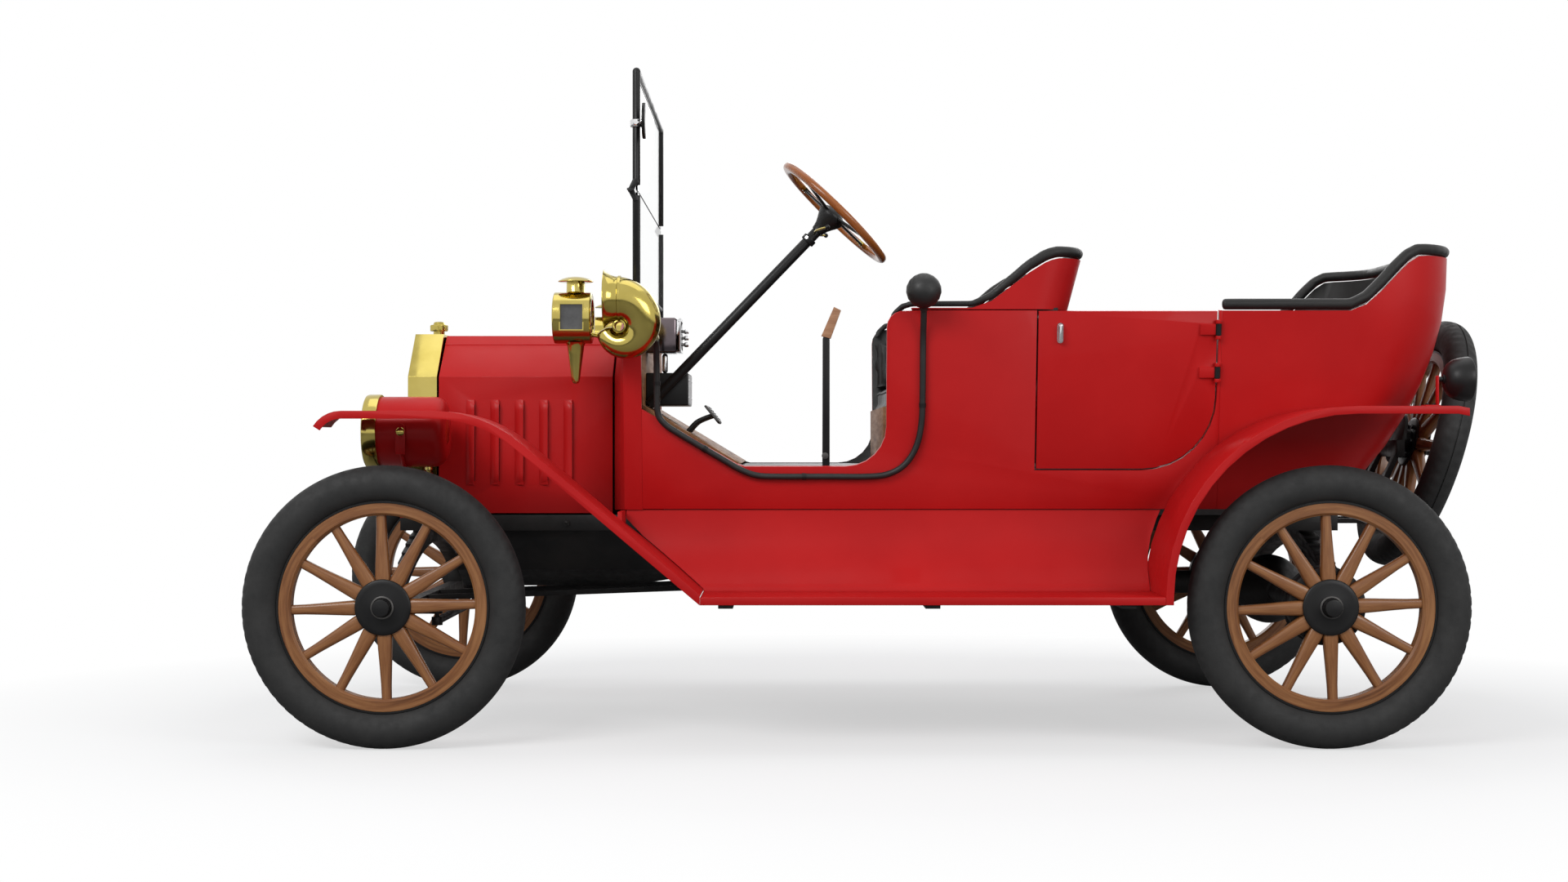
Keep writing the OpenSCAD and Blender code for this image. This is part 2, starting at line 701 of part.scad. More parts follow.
module hinge_pins() {
  for (z = hinge_zs) translate([door_pin_x, (z - belt_z) / cos(side_lean), -door_pin_out])
    rotate([90, 0, 0]) {
    cylinder(h = door_knuckle_l + 24, r = door_pin_r, center = true);
    for (s = [-1, 1]) translate([0, 0, s * (door_knuckle_l / 2 + 7)]) {
      cylinder(h = 10, r = door_knuckle_r, center = true);
      translate([-10, 0, -5]) cube([10, door_pin_out, 10]);
    }
  }
}

module side_panels() {
  color(red) both() on_side() {
    linear_extrude(wall_t) difference() {
      polygon(on_plate(panel_outline));
      polygon(on_plate(door_outline(door_gap)));
    }
    hinge_pins();
  }
}

module door_shape() {
  on_side() {
    linear_extrude(wall_t) polygon(on_plate(door_outline(0)));
    for (z = hinge_zs) translate([door_pin_x, (z - belt_z) / cos(side_lean), -door_pin_out])
      rotate([90, 0, 0])
      difference() {
        union() {
          cylinder(h = door_knuckle_l, r = door_knuckle_r, center = true);
          translate([0, 0, -door_knuckle_l / 2]) cube([50, door_knuckle_r, door_knuckle_l]);
        }
        cylinder(h = door_knuckle_l + 2, r = door_pin_r + run_gap, center = true);
      }
  }
}

module door_left() { color(red) door_shape(); }
module door_right() { color(red) mirror([0, 1, 0]) door_shape(); }

floor_t = 17;
floor_edge = wall_t / cos(side_lean) + 1;

module floor() {
  left = concat([[toe_x + 12, side_w(floor_z - floor_t) - floor_edge]],
    tub_half(floor_z - floor_t, floor_edge));
  floor_outline = concat(left, [for (i = [len(left) - 1:-1:0]) [left[i].x, -left[i].y]]);
  color(steel) {
    translate([0, 0, floor_z - floor_t]) linear_extrude(floor_t) polygon(floor_outline);
    both() translate([-1225, rail_y - 50, rail_top_z])
      cube([1225 + 640, 60, floor_z - floor_t - rail_top_z + 1]);
  }
}

// Tubs: a wall that runs down both sides and round the back

rear_lean_r = 914;
rear_back_x = rear_x - 430;
rear_vertical_z = 1330;
tub_corner_r = 190;
arc_steps = 9;
tub_levels = 8;

function rear_x_at(z) = rear_back_x + rear_lean_r - sqrt(pow(rear_lean_r,
  2) - pow(max(rear_vertical_z - z, 0), 2));
function smooth(t) = let (u = max(0, min(1, t))) u * u * (3 - 2 * u);
function rear_top(x) = belt_z + (rear_rim_z - belt_z) * smooth((-1290 - x) / 200);
function tub_half(z, d) = concat(
  [for (f = rear_steps) [tub_front_x + f * (rear_x_at(z) + tub_corner_r - tub_front_x), side_w(z) - d]],
  [for (k = [0:arc_steps]) let (a = 90 * k / arc_steps)
    [rear_x_at(z) + tub_corner_r - (tub_corner_r - d) * sin(a),
      side_w(z) - tub_corner_r + (tub_corner_r - d) * cos(a)]]);

// Walls from rows of points: w[k][j] is the outer face, v[k][j] the inner face
module wall_skin(w, v) {
  n = len(w);
  m = len(w[0]);
  pts = concat([for (r = w) each r], [for (r = v) each r]);
  o = n * m;
  function id(k, j, s) = s * o + k * m + j;
  outer = [for (k = [0:n - 2], j = [0:m - 2]) each [[id(k, j, 0), id(k, j + 1, 0), id(k + 1, j, 0)],
    [id(k + 1, j, 0), id(k, j + 1, 0), id(k + 1, j + 1, 0)]]];
  inner = [for (k = [0:n - 2], j = [0:m - 2]) each [[id(k, j, 1), id(k + 1, j, 1), id(k, j + 1, 1)],
    [id(k + 1, j, 1), id(k + 1, j + 1, 1), id(k, j + 1, 1)]]];
  rim = [for (k = [0:n - 2]) each [[id(k, m - 1, 0), id(k, m - 1, 1), id(k + 1, m - 1, 0)],
    [id(k + 1, m - 1, 0), id(k, m - 1, 1), id(k + 1, m - 1, 1)],
    [id(k, 0, 0), id(k + 1, 0, 0), id(k, 0, 1)], [id(k + 1, 0, 0), id(k + 1, 0, 1), id(k, 0, 1)]]];
  ends = [for (j = [0:m - 2]) each [[id(0, j, 0), id(0, j, 1), id(0, j + 1, 0)],
    [id(0, j + 1, 0), id(0, j, 1), id(0, j + 1, 1)],
    [id(n - 1, j, 0), id(n - 1, j + 1, 0), id(n - 1, j, 1)],
    [id(n - 1, j + 1, 0), id(n - 1, j + 1, 1), id(n - 1, j, 1)]]];
  polyhedron(pts, concat(outer, inner, rim, ends));
}

rear_steps = [0, 0.4, 0.75, 0.84, 0.92];
function rear_wall(d) = let (
    top = tub_half(rear_rim_z, 0),
    half = [for (i = [0:len(top) - 1]) [for (j = [0:tub_levels]) let (
      z = body_bottom_z + (rear_top(top[i].x) - body_bottom_z) * j / tub_levels,
      p = tub_half(z, d)[i]) [p.x, p.y, z]]])
  concat(half, [for (i = [len(half) - 1:-1:0]) [for (p = half[i]) [p.x, -p.y, p.z]]]);

module rear_tub() { color(red) wall_skin(rear_wall(0), rear_wall(wall_t)); }

// The front seat's shell stands on the side panels
shell_z0 = belt_z + 4;
shell_back_x = -545;
shell_lean = tan(15);
shell_r = 110;
shell_half_w = body_half_w - 4;
shell_front_x = -60;
shell_steps = [0, 0.25, 0.5, 0.65, 0.78, 0.9];
function shell_x_at(z) = shell_back_x + (front_rim_z - z) * shell_lean;
shell_low_rim = 8;
function shell_top(x) = belt_z + shell_low_rim + (front_rim_z - belt_z - shell_low_rim) * smooth((-250
  - x) / 230);
function shell_half(z, d) = concat(
  [for (f = shell_steps) [shell_front_x + f * (shell_x_at(z) + shell_r - shell_front_x), shell_half_w - d]],
  [for (k = [0:arc_steps]) let (a = 90 * k / arc_steps)
    [shell_x_at(z) + shell_r - (shell_r - d) * sin(a), shell_half_w - shell_r + (shell_r - d) * cos(a)]]);
function shell_wall(d) = let (
    top = shell_half(front_rim_z, 0),
    half = [for (i = [0:len(top) - 1]) [for (j = [0:3]) let (
      z = shell_z0 + (shell_top(top[i].x) - shell_z0) * j / 3, p = shell_half(z, d)[i]) [p.x, p.y, z]]])
  concat(half, [for (i = [len(half) - 1:-1:0]) [for (p = half[i]) [p.x, -p.y, p.z]]]);

module front_seat_shell() {
  color(red) {
    wall_skin(shell_wall(0), shell_wall(wall_t));
    slab([[shell_x_at(floor_z), floor_z + seat_gap], [shell_x_at(shell_z0), shell_z0 - seat_gap],
          [shell_x_at(shell_z0) + wall_t, shell_z0 - seat_gap],
            [shell_x_at(floor_z) + wall_t, floor_z + seat_gap]],
         -side_w(floor_z) + wall_t + 3, side_w(floor_z) - wall_t - 3);
  }
}

// Seats

seat_half_w = side_w(floor_z) - wall_t - 3;
seat_z = 924;
front_seat_x = 15;
rear_seat_x = -1010;
cushion_h = 74;

module front_seat_box() {
  slab([[front_seat_x, floor_z + seat_gap], [front_seat_x, seat_z],
    [shell_x_at(seat_z) + wall_t + 1, seat_z], [shell_x_at(floor_z) + wall_t + 1, floor_z + seat_gap]],
    -seat_half_w, seat_half_w);
}

module rear_seat_box() {
  slab([[rear_seat_x, floor_z + seat_gap], [rear_seat_x, seat_z],
    [rear_x_at(seat_z) + wall_t + 46, seat_z], [rear_x_at(floor_z) + wall_t + 42, floor_z + seat_gap]],
    -seat_half_w + 60, seat_half_w - 60);
}

module front_cushion() {
  slab([[front_seat_x + 8, seat_z + seat_gap + 8], [front_seat_x + 8, seat_z + cushion_h - 12],
    [front_seat_x - 8, seat_z + cushion_h],
      [shell_x_at(seat_z + cushion_h) + wall_t + 8, seat_z + cushion_h],
    [shell_x_at(seat_z) + wall_t + 8, seat_z + seat_gap], [front_seat_x, seat_z + seat_gap]],
    -seat_half_w - 10, seat_half_w + 10);
}

module rear_cushion() {
  slab([[rear_seat_x + 8, seat_z + seat_gap + 8], [rear_seat_x + 8, seat_z + cushion_h - 12],
    [rear_seat_x - 8, seat_z + cushion_h],
      [rear_x_at(seat_z + cushion_h) + wall_t + 40, seat_z + cushion_h],
    [rear_x_at(seat_z) + wall_t + 44, seat_z + seat_gap], [rear_seat_x, seat_z + seat_gap]],
    -seat_half_w + 40, seat_half_w - 40);
}

back_t = 62;
pad_z0 = seat_z + cushion_h + 2;
module front_back_pad() {
  slab([[shell_x_at(pad_z0) + wall_t + 1, pad_z0],
    [shell_x_at(front_rim_z - 20) + wall_t + 1, front_rim_z - 20],
    [shell_x_at(front_rim_z - 20) + wall_t + back_t - 30, front_rim_z - 20],
    [shell_x_at(front_rim_z - 90) + wall_t + back_t, front_rim_z - 90],
      [shell_x_at(pad_z0) + wall_t + back_t, pad_z0]],
    -seat_half_w + 40, seat_half_w - 40);
}

module rear_back_pad() {
  slab([[rear_x_at(pad_z0) + wall_t + 30, pad_z0], [rear_back_x + wall_t + 19, rear_rim_z - 150],
    [rear_back_x + wall_t + 17, rear_rim_z - 20], [rear_back_x + wall_t + back_t - 10, rear_rim_z - 20],
    [rear_back_x + wall_t + back_t + 30, rear_rim_z - 120], [rear_x_at(pad_z0) + wall_t + back_t + 60,
      pad_z0]],
    -seat_half_w + 60, seat_half_w - 60);
}

side_pad_t = 42;
arm_top_z = belt_z - 5;
arm_front_top_z = belt_z - 32;

// Padded arms inside the walls, thinner in front: a row of xs is its place, share of the thickness and top
function arm_row(r, wall) = [for (z = [pad_z0, r[2]]) [r[0], side_w(z) - wall - seat_gap, z,
  r[1] * side_pad_t]];
module arm_pad(xs, back, wall) {
  rows = concat([for (r = xs) arm_row(r, wall)], [back]);
  wall_skin([for (r = rows) [for (p = r) [p.x, p.y, p.z]]],
    [for (r = rows) [for (p = r) [p.x, p.y - p[3], p.z]]]);
}

module front_arm() {
  arm_pad([[8, 0.5, arm_front_top_z], [2, 0.8, arm_front_top_z], [-12, 1, arm_front_top_z],
           [-44, 1, arm_front_top_z], [-90, 1, arm_top_z]],
          [for (p = arm_row([0, 1, arm_top_z], wall_t / cos(side_lean))) [shell_x_at(p.z) + wall_t + 4, p.y,
            p.z, p[3]]],
          wall_t / cos(side_lean));
}

module rear_arm() {
  arm_pad([[rear_seat_x + 30, 0.5, arm_front_top_z], [rear_seat_x + 24, 0.8, arm_front_top_z + 20],
           [rear_seat_x + 8, 1, arm_top_z], [rear_seat_x - 258, 1, arm_top_z]],
          [for (p = arm_row([0, 1, arm_top_z], wall_t)) [rear_x_at(p.z) + tub_corner_r + 4, p.y - 9, p.z,
            p[3]]], wall_t);
}

roll_r = 17;
slim_roll_r = 10;

// The line of a roll that lies on a rim, clear of it where the rim rises; r is its radius at each point
function rolled(rim, r) = [for (i = [0:len(rim) - 1]) let (t = tangent(rim, i))
  rim[i] + [0, 0, (r[i] + seat_gap) / norm([t.x, t.y]) + 1.1]];

// The front roll starts inside the side panels' round corners: places from the corner's centre
corner_steps = [[30, -23, 20.5], [21, -20, 42], [1, -12, 60]];
function corner_roll(side) = [for (p = corner_steps)
  [panel_corner.x + p.x, side * (shell_half_w - wall_t / 2 + p.y), panel_corner.y + p.z]];
module front_roll() {
  rim = [for (r = shell_wall(wall_t / 2)) r[len(r) - 1]];
  radii = [for (p = rim) slim_roll_r + (roll_r - slim_roll_r) * smooth((-200 - p.x) / 250)];
  slim = [for (p = corner_steps) slim_roll_r];
  right = corner_roll(-1);
  sweep(concat(corner_roll(1), rolled(rim, radii), [for (i = [len(right) - 1:-1:0]) right[i]]),
        concat(slim, radii, slim), [0, 0, 1], 10);
}
module rear_roll() {
  rim = [for (r = rear_wall(wall_t / 2)) r[len(r) - 1]];
  sweep(rolled(rim, [for (p = rim) roll_r]), roll_r, [0, 0, 1], 10);
}

module seat_boxes() {
  color(wood) {
    front_seat_box();
    rear_seat_box();
  }
}

module seat_cushions() {
  color(leather) {
    front_cushion();
    rear_cushion();
  }
}

module seat_backs() {
  color(leather) {
    front_back_pad();
    rear_back_pad();
    both() {
      front_arm();
      rear_arm();
    }
  }
}

module seat_rolls() {
  color(leather) {
    front_roll();
    rear_roll();
  }
}

// Windscreen

screen_x = cowl_back_x + 9;
screen_r = screen_tube / 2;
screen_base_z = cowl_top_z + 16;
screen_bottom_z = screen_base_z + 62;
fold_z = screen_bottom_z + (screen_top_z - screen_bottom_z) * 0.4344;
fold_x = screen_x + 14;
rail_gap = 15.5;
ear_r = 9;
fold_pin_r = 5;
mirror_y = screen_y + 51;
mirror_z = screen_top_z - 155;

module windscreen_lower() {
  color(black) {
    translate([screen_x - 13, -screen_y - 6, screen_base_z - 0.5]) cube([26, 2 * screen_y + 12, 14]);
    both() {
      translate([screen_x, screen_y, screen_base_z + 2]) cylinder(h = fold_z - rail_gap - screen_base_z,
        r = screen_r);
      slab([[screen_x - 6, fold_z - rail_gap - 12], [fold_x - ear_r, fold_z], [fold_x, fold_z + ear_r],
        [fold_x + ear_r, fold_z],
            [screen_x + 8, fold_z - rail_gap - 14]], screen_y + screen_r - 3, screen_y + screen_r + 3);
      bar_y(screen_y + screen_r, screen_y + screen_r + 12, fold_x, fold_z, fold_pin_r);
    }
    bar_y(-screen_y, screen_y, screen_x, screen_bottom_z, 9);
  }
}

module windscreen_upper() {
  color(black) {
    both() {
      translate([screen_x, screen_y, fold_z + rail_gap])
        cylinder(h = screen_top_z - screen_r - fold_z - rail_gap, r = screen_r);
      difference() {
        union() {
          slab([[screen_x - 6, fold_z + rail_gap + 14], [screen_x + 8, fold_z + rail_gap + 16],
                [fold_x + ear_r, fold_z], [fold_x - ear_r, fold_z]], screen_y + screen_r + 4,
                  screen_y + screen_r + 9);
          bar_y(screen_y + screen_r + 4, screen_y + screen_r + 9, fold_x, fold_z, ear_r);
          bar_y(screen_y, screen_y + screen_r + 9, screen_x, fold_z + rail_gap + 8, 6);
        }
        bar_y(screen_y + screen_r, screen_y + screen_r + 12, fold_x, fold_z, fold_pin_r + run_gap);
      }
      translate([screen_x, screen_y, screen_top_z - screen_r]) sphere(r = screen_r);
    }
    bar_y(-screen_y, screen_y, screen_x, screen_top_z - screen_r, screen_r);
    bar_x(screen_x - 25, screen_x, screen_y + screen_r - 2, mirror_z, 7);
    bar_y(screen_y + screen_r - 6, mirror_y, screen_x - 21, mirror_z, 6);
    bar_x(screen_x - 29, screen_x - 20, mirror_y, mirror_z, 50);
  }
}

glass_t = 6;
module lower_pane() {
  color([0.8, 0.9, 0.9, 0.35])
    translate([screen_x - glass_t / 2, -screen_y + screen_r + seat_gap, screen_bottom_z + 9 + seat_gap])
      cube([glass_t, 2 * (screen_y - screen_r - seat_gap),
        fold_z - move_gap / 2 - screen_bottom_z - 9 - seat_gap]);
}

module upper_pane() {
  color([0.8, 0.9, 0.9, 0.35])
    translate([screen_x - glass_t / 2, -screen_y + screen_r + seat_gap, fold_z + move_gap / 2])
      cube([glass_t, 2 * (screen_y - screen_r - seat_gap),
        screen_top_z - 2 * screen_r - fold_z - move_gap / 2 - seat_gap]);
}

// Lamps

headlamp_y = 470;
headlamp_z = 853;
headlamp_x = radiator_front_x + 88;
lamp_back_x = headlamp_x - 225;
lamp_rim_l = 41;
lamp_post_x = headlamp_x - 111;
lamp_drum_r = headlamp_d / 2 - 6;
module headlamps() {
  color(red) both() {
    r = headlamp_d / 2;
    translate([0, headlamp_y, headlamp_z]) rotate([0, 90, 0]) rotate_extrude()
      polygon([[0, lamp_back_x], [lamp_drum_r - 24, lamp_back_x], [lamp_drum_r - 8, lamp_back_x + 8],
               [lamp_drum_r, lamp_back_x + 24], [lamp_drum_r, headlamp_x - lamp_rim_l],
                 [r, headlamp_x - lamp_rim_l],
               [r, headlamp_x - 6], [r - 5, headlamp_x], [r - 16, headlamp_x], [r - 20, headlamp_x - 10],
                 [0, headlamp_x - 6]]);
    translate([lamp_post_x - 10, headlamp_y - 9, rail_top_z - 10])
      cube([20, 18, headlamp_z - lamp_drum_r + 4 - rail_top_z + 10]);
    translate([lamp_post_x - 15, rail_y + seat_gap, rail_top_z - 24])
      cube([30, headlamp_y + 9 - rail_y - seat_gap, 16]);
  }
}

side_lamp_y = 560;
side_lamp_z = 1166;
side_lamp_x0 = 825;
side_lamp_x1 = 928;
chimney_x = 870;
module side_lamps() {
  color(brass) both() {
    r = side_lamp_d / 2;
    bar_x(side_lamp_x0, side_lamp_x1, side_lamp_y, side_lamp_z, r);
    translate([chimney_x, side_lamp_y, side_lamp_z + r - 6]) cylinder(h = 36, r = 25);
    translate([chimney_x, side_lamp_y, side_lamp_z + r + 28]) cylinder(h = 16, r1 = 49, r2 = 30);
    translate([chimney_x, side_lamp_y, side_lamp_z - r - 110]) cylinder(h = 116, r1 = 10, r2 = 23);
    translate([cowl_x - 30, side_w(1047) + seat_gap, 1035]) cube([22, side_lamp_y - side_w(1047) + 10, 12]);
    translate([cowl_x - 30, side_lamp_y - 10, 1035]) cube([side_lamp_x0 - cowl_x + 46, 20, 12]);
    translate([side_lamp_x0 - 4, side_lamp_y - 10, 1040]) cube([20, 20, side_lamp_z - 1040 - 40]);
  }
}

tail_y = 640;
tail_z = 995;
module tail_lamps() {
  color(black) both() {
    translate([0, tail_y, tail_z]) rotate([0, -90, 0]) rotate_extrude()
      polygon([[0, 1500], [24, 1502], [46, 1514], [58, 1536], [61, 1566], [56, 1572], [0, 1570]]);
    translate([-1486, tail_y - 8, rear_guard_z + seat_gap]) cube([12, 16, tail_z - rear_guard_z]);
    translate([-1488, tail_y - 20, rear_guard_z + seat_gap]) cube([44, 40, 5]);
    bar_x(-1502, -1478, tail_y, tail_z, 8);
  }
}

// Horn, on the left

horn_y = 622;
horn_cx = 744;
horn_cz = belt_z - 50;
horn_hole_r = 14;
horn_out_r = 136;
horn_end_a = 248;
horn_end_in = 22;
horn_mouth_x = horn_cx + 42;
horn_mouth_r = 80;
horn_clamp_z = belt_z + 36;
horn_rings = 15;

// The coil's outer radius, tube radius and centre line, a degrees behind the bell
function coil_out(a) = horn_out_r - 0.278 * a;
function coil_r(a) = (coil_out(a) - horn_hole_r) / 2;
function coil_at(a) = let (q = (coil_out(a) + horn_hole_r) / 2)
  [horn_cx + q * cos(90 + a), horn_y - horn_end_in * a / horn_end_a, horn_cz + q * sin(90 + a)];
horn_steps = [for (k = [0:horn_rings]) horn_end_a * (1 - k / horn_rings)];
horn_bell_z = coil_at(0).z;
// The coil's rounded end: how far ahead each ring is and how wide, in tube radii
horn_dome = [[0.42, 0.35], [0.34, 0.68], [0.18, 0.92]];
horn_ahead = [-cos(horn_end_a), 0, -sin(horn_end_a)];
// The bell: how far ahead each ring is and how wide
horn_bell = [[5, 61.5], [13, 63], [24, 67], [34, 73], [42, horn_mouth_r + 0.5]];
horn_tail = [650, 572, horn_cz - 28];

module horn() {
  color(brass) {
    end_r = coil_r(horn_end_a);
    difference() {
      sweep(concat([for (d = horn_dome) coil_at(horn_end_a) + horn_ahead * end_r * d[0]],
                   [for (a = horn_steps) coil_at(a)],
                   [for (b = horn_bell) [horn_cx + b[0], horn_y, horn_bell_z]]),
            concat([for (d = horn_dome) end_r * d[1]], [for (a = horn_steps) coil_r(a)],
                   [for (b = horn_bell) b[1]]), [0, 1, 0], 24);
      translate([0, horn_y, horn_bell_z]) rotate([0, 90, 0]) rotate_extrude()
        polygon([[0, horn_cx + 10], [56, horn_cx + 10], [61, horn_cx + 22], [68, horn_cx + 33],
                 [horn_mouth_r - 3, horn_mouth_x], [horn_mouth_r - 3, horn_mouth_x + 2],
                   [0, horn_mouth_x + 2]]);
    }
    bar_y(horn_tail.y, horn_tail.y + 30, horn_tail.x, horn_tail.z, 12);
    difference() {
      union() {
        bar_y(screen_y, horn_y - 40, screen_x, horn_clamp_z, 7);
        translate([screen_x, screen_y, horn_clamp_z - 10]) cylinder(h = 20, r = screen_r + 6);
      }
      translate([screen_x, screen_y, horn_clamp_z - 11]) cylinder(h = 22, r = screen_r + run_gap);
    }
  }
}

tube_r = 9;
tube_out = tube_r / cos(side_lean) + 0.4;
function by_side(x, z) = [x, side_w(z) + tube_out, z];
horn_route = [
  [650, 570.2, 1112], [650, 560, 1110.4], [650, 543, 1105], [650, 528, 1090], [650, 516, 1066],
    by_side(650, 1030),
  by_side(650, 960), by_side(648, 905),
  by_side(630, 876), by_side(590, 848), by_side(470, 777), by_side(420, 748), by_side(375, 731),
    by_side(320, 727),
  by_side(180, 727), by_side(60, 727), by_side(0, 735), by_side(-45, 762), by_side(-76, 812),
    by_side(-90, 880),
  by_side(-92, 960), by_side(-92, 1040), by_side(-92, belt_z - 80), [-92, body_half_w + 20, belt_z - 30],
  [-91, body_half_w + 42, belt_z + 15]
];
bulb_r = 49;
module horn_tube() {
  color(black) {
    sweep(horn_route, tube_r, [0, 1, 0], 8);
    translate([-90, body_half_w + 57, belt_z + 51]) sphere(r = bulb_r);
  }
}

// Steering and controls

column_a = 46;
column_y = 315;
steer_x = 149;
steer_z = 1483;
column_r = 15;
steer_rim_w = 32;
steer_rim_t = 24;
steer_hub_r = 42;
column_l = (cowl_back_x - seat_gap - column_r * sin(column_a) - steer_x) / cos(column_a);
hub_low = 74;

module on_column() {
  translate([steer_x, column_y, steer_z]) rotate([0, 90 + column_a, 0]) children();
}

module steering_column() {
  color(black) on_column() translate([0, 0, hub_low + run_gap])
    cylinder(h = column_l - hub_low, r = column_r);
}

module steering_wheel() {
  color(wood) on_column() {
    rim_mid = (steering_d - steer_rim_w) / 2;
    w = steer_rim_w / 2;
    t = steer_rim_t / 2;
    rotate_extrude($fn = 72) translate([rim_mid, 0])
      polygon([[-w, -t / 2], [-w * 0.6, -t], [w * 0.6, -t], [w, -t / 2], [w, t / 2], [w * 0.6, t],
        [-w * 0.6, t], [-w, t / 2]]);
    for (a = [45:90:315]) rotate([0, 0, a]) translate([0, -11, -3]) cube([rim_mid, 22, 6]);
    rotate_extrude() polygon([[0, -14], [18, -14], [steer_hub_r - 4, 4], [steer_hub_r, 12],
      [steer_hub_r - 6, 28],
                              [22, 56], [18, hub_low], [0, hub_low]]);
  }
}

module controls() {
  color(black) {
    slab([[165, floor_z + seat_gap], [165, 1117], [162, 1118], [132, 1199], [153, 1209], [189, 1126],
      [186, 1122],
          [186, floor_z + seat_gap]], 372, 386);
    for (y = [180, 250, 320]) {
      slab([[590, toe_z(590) + 1], [548, toe_z(548) + 1], [498, 894], [508, 904], [552, 862], [584, 880]],
        y - 5, y + 5);
      slab([[484, 874], [478, 880], [520, 932], [526, 926]], y - 32, y + 32);
    }
  }
}

module instrument_box() {
  color(wood) {
    translate([600, 190, 1081]) cube([cowl_back_x - seat_gap - 600, 120, 102]);
    translate([592, 200, 1091]) cube([10, 100, 82]);
    for (z = [1107, 1126, 1145]) bar_x(572, 594, 250, z, 7);
  }
  color(black) translate([571, 60, 930]) cube([cowl_back_x - seat_gap - 571, 230, 94]);
}

chassis_frame();
board_brackets();
engine();
front_axle();
springs();
knuckle_left();
knuckle_right();
tie_rod();
rear_axle();
wheel_front_left();
wheel_front_right();
wheel_rear_left();
wheel_rear_right();
tyre_front_left();
tyre_front_right();
tyre_rear_left();
tyre_rear_right();
spare_wheel();
spare_tyre();
spare_carrier();
front_mudguards();
rear_mudguards();
running_boards();
aprons();
radiator_shell();
radiator_core();
bonnet_top_left();
bonnet_top_right();
bonnet_side_left();
bonnet_side_right();
cowl();
dashboard();
side_panels();
rear_tub();
door_left();
door_right();
floor();
front_seat_shell();
seat_boxes();
seat_cushions();
seat_backs();
seat_rolls();
windscreen_lower();
windscreen_upper();
lower_pane();
upper_pane();
headlamps();
side_lamps();
tail_lamps();
horn();
horn_tube();
steering_column();
steering_wheel();
controls();
instrument_box();
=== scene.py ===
import json
import math
import bmesh
import bpy
from mathutils import Matrix, Vector
from mathutils.bvhtree import BVHTree

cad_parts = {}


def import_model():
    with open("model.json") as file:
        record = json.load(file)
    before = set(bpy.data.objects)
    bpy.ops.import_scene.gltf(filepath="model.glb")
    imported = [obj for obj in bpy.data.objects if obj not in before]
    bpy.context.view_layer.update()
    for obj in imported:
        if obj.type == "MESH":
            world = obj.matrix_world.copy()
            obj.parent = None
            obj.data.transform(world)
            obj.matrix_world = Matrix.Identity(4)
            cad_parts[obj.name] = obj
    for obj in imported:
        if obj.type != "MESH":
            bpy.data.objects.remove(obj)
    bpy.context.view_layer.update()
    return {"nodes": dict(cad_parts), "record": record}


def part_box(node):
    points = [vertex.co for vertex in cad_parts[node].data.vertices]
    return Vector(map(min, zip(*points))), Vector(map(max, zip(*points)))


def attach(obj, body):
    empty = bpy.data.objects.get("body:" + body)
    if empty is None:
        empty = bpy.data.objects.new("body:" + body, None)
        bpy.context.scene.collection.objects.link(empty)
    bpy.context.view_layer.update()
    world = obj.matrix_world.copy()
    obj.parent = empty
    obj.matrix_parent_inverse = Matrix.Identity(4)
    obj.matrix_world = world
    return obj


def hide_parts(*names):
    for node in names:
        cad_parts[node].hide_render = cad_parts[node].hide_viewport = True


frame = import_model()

NODES = frame["nodes"]
MM = 0.001

# Materials


def nodes_of(name):
    mat = bpy.data.materials.new(name)
    mat.use_nodes = True
    tree = mat.node_tree
    shader = tree.nodes["Principled BSDF"]
    return mat, tree, shader


def link(tree, a, b):
    tree.links.new(a, b)


def put(node, values):
    """Sets a node's own inputs."""
    for name, value in values.items():
        node.inputs[name].default_value = value


def reckon(tree, operation, *values):
    """A maths node; each value is a number or a socket to read."""
    maths = tree.nodes.new("ShaderNodeMath")
    maths.operation = operation
    for k, value in enumerate(values):
        if isinstance(value, float):
            maths.inputs[k].default_value = value
        else:
            link(tree, value, maths.inputs[k])
    return maths.outputs[0]


def noise_node(tree, scale, detail=3.0, rough=0.5, stretch=None, coord="Object"):
    pos = tree.nodes.new("ShaderNodeTexCoord")
    tex = tree.nodes.new("ShaderNodeTexNoise")
    put(tex, {"Scale": scale, "Detail": detail, "Roughness": rough})
    source = pos.outputs[coord]
    if stretch:
        mapping = tree.nodes.new("ShaderNodeMapping")
        mapping.inputs["Scale"].default_value = stretch
        link(tree, source, mapping.inputs["Vector"])
        source = mapping.outputs["Vector"]
    link(tree, source, tex.inputs["Vector"])
    return tex


def ramp(tree, source, stops):
    node = tree.nodes.new("ShaderNodeValToRGB")
    while len(node.color_ramp.elements) < len(stops):
        node.color_ramp.elements.new(0.5)
    for element, (at, colour) in zip(node.color_ramp.elements, stops):
        element.position = at
        element.color = (*colour, 1.0) if len(colour) == 3 else colour
    link(tree, source, node.inputs["Fac"])
    return node


def grey(v):
    return (v, v, v)


def bump(tree, shader, source, strength, distance):
    node = tree.nodes.new("ShaderNodeBump")
    put(node, {"Strength": strength, "Distance": distance})
    link(tree, source, node.inputs["Height"])
    link(tree, node.outputs["Normal"], shader.inputs["Normal"])
    return node


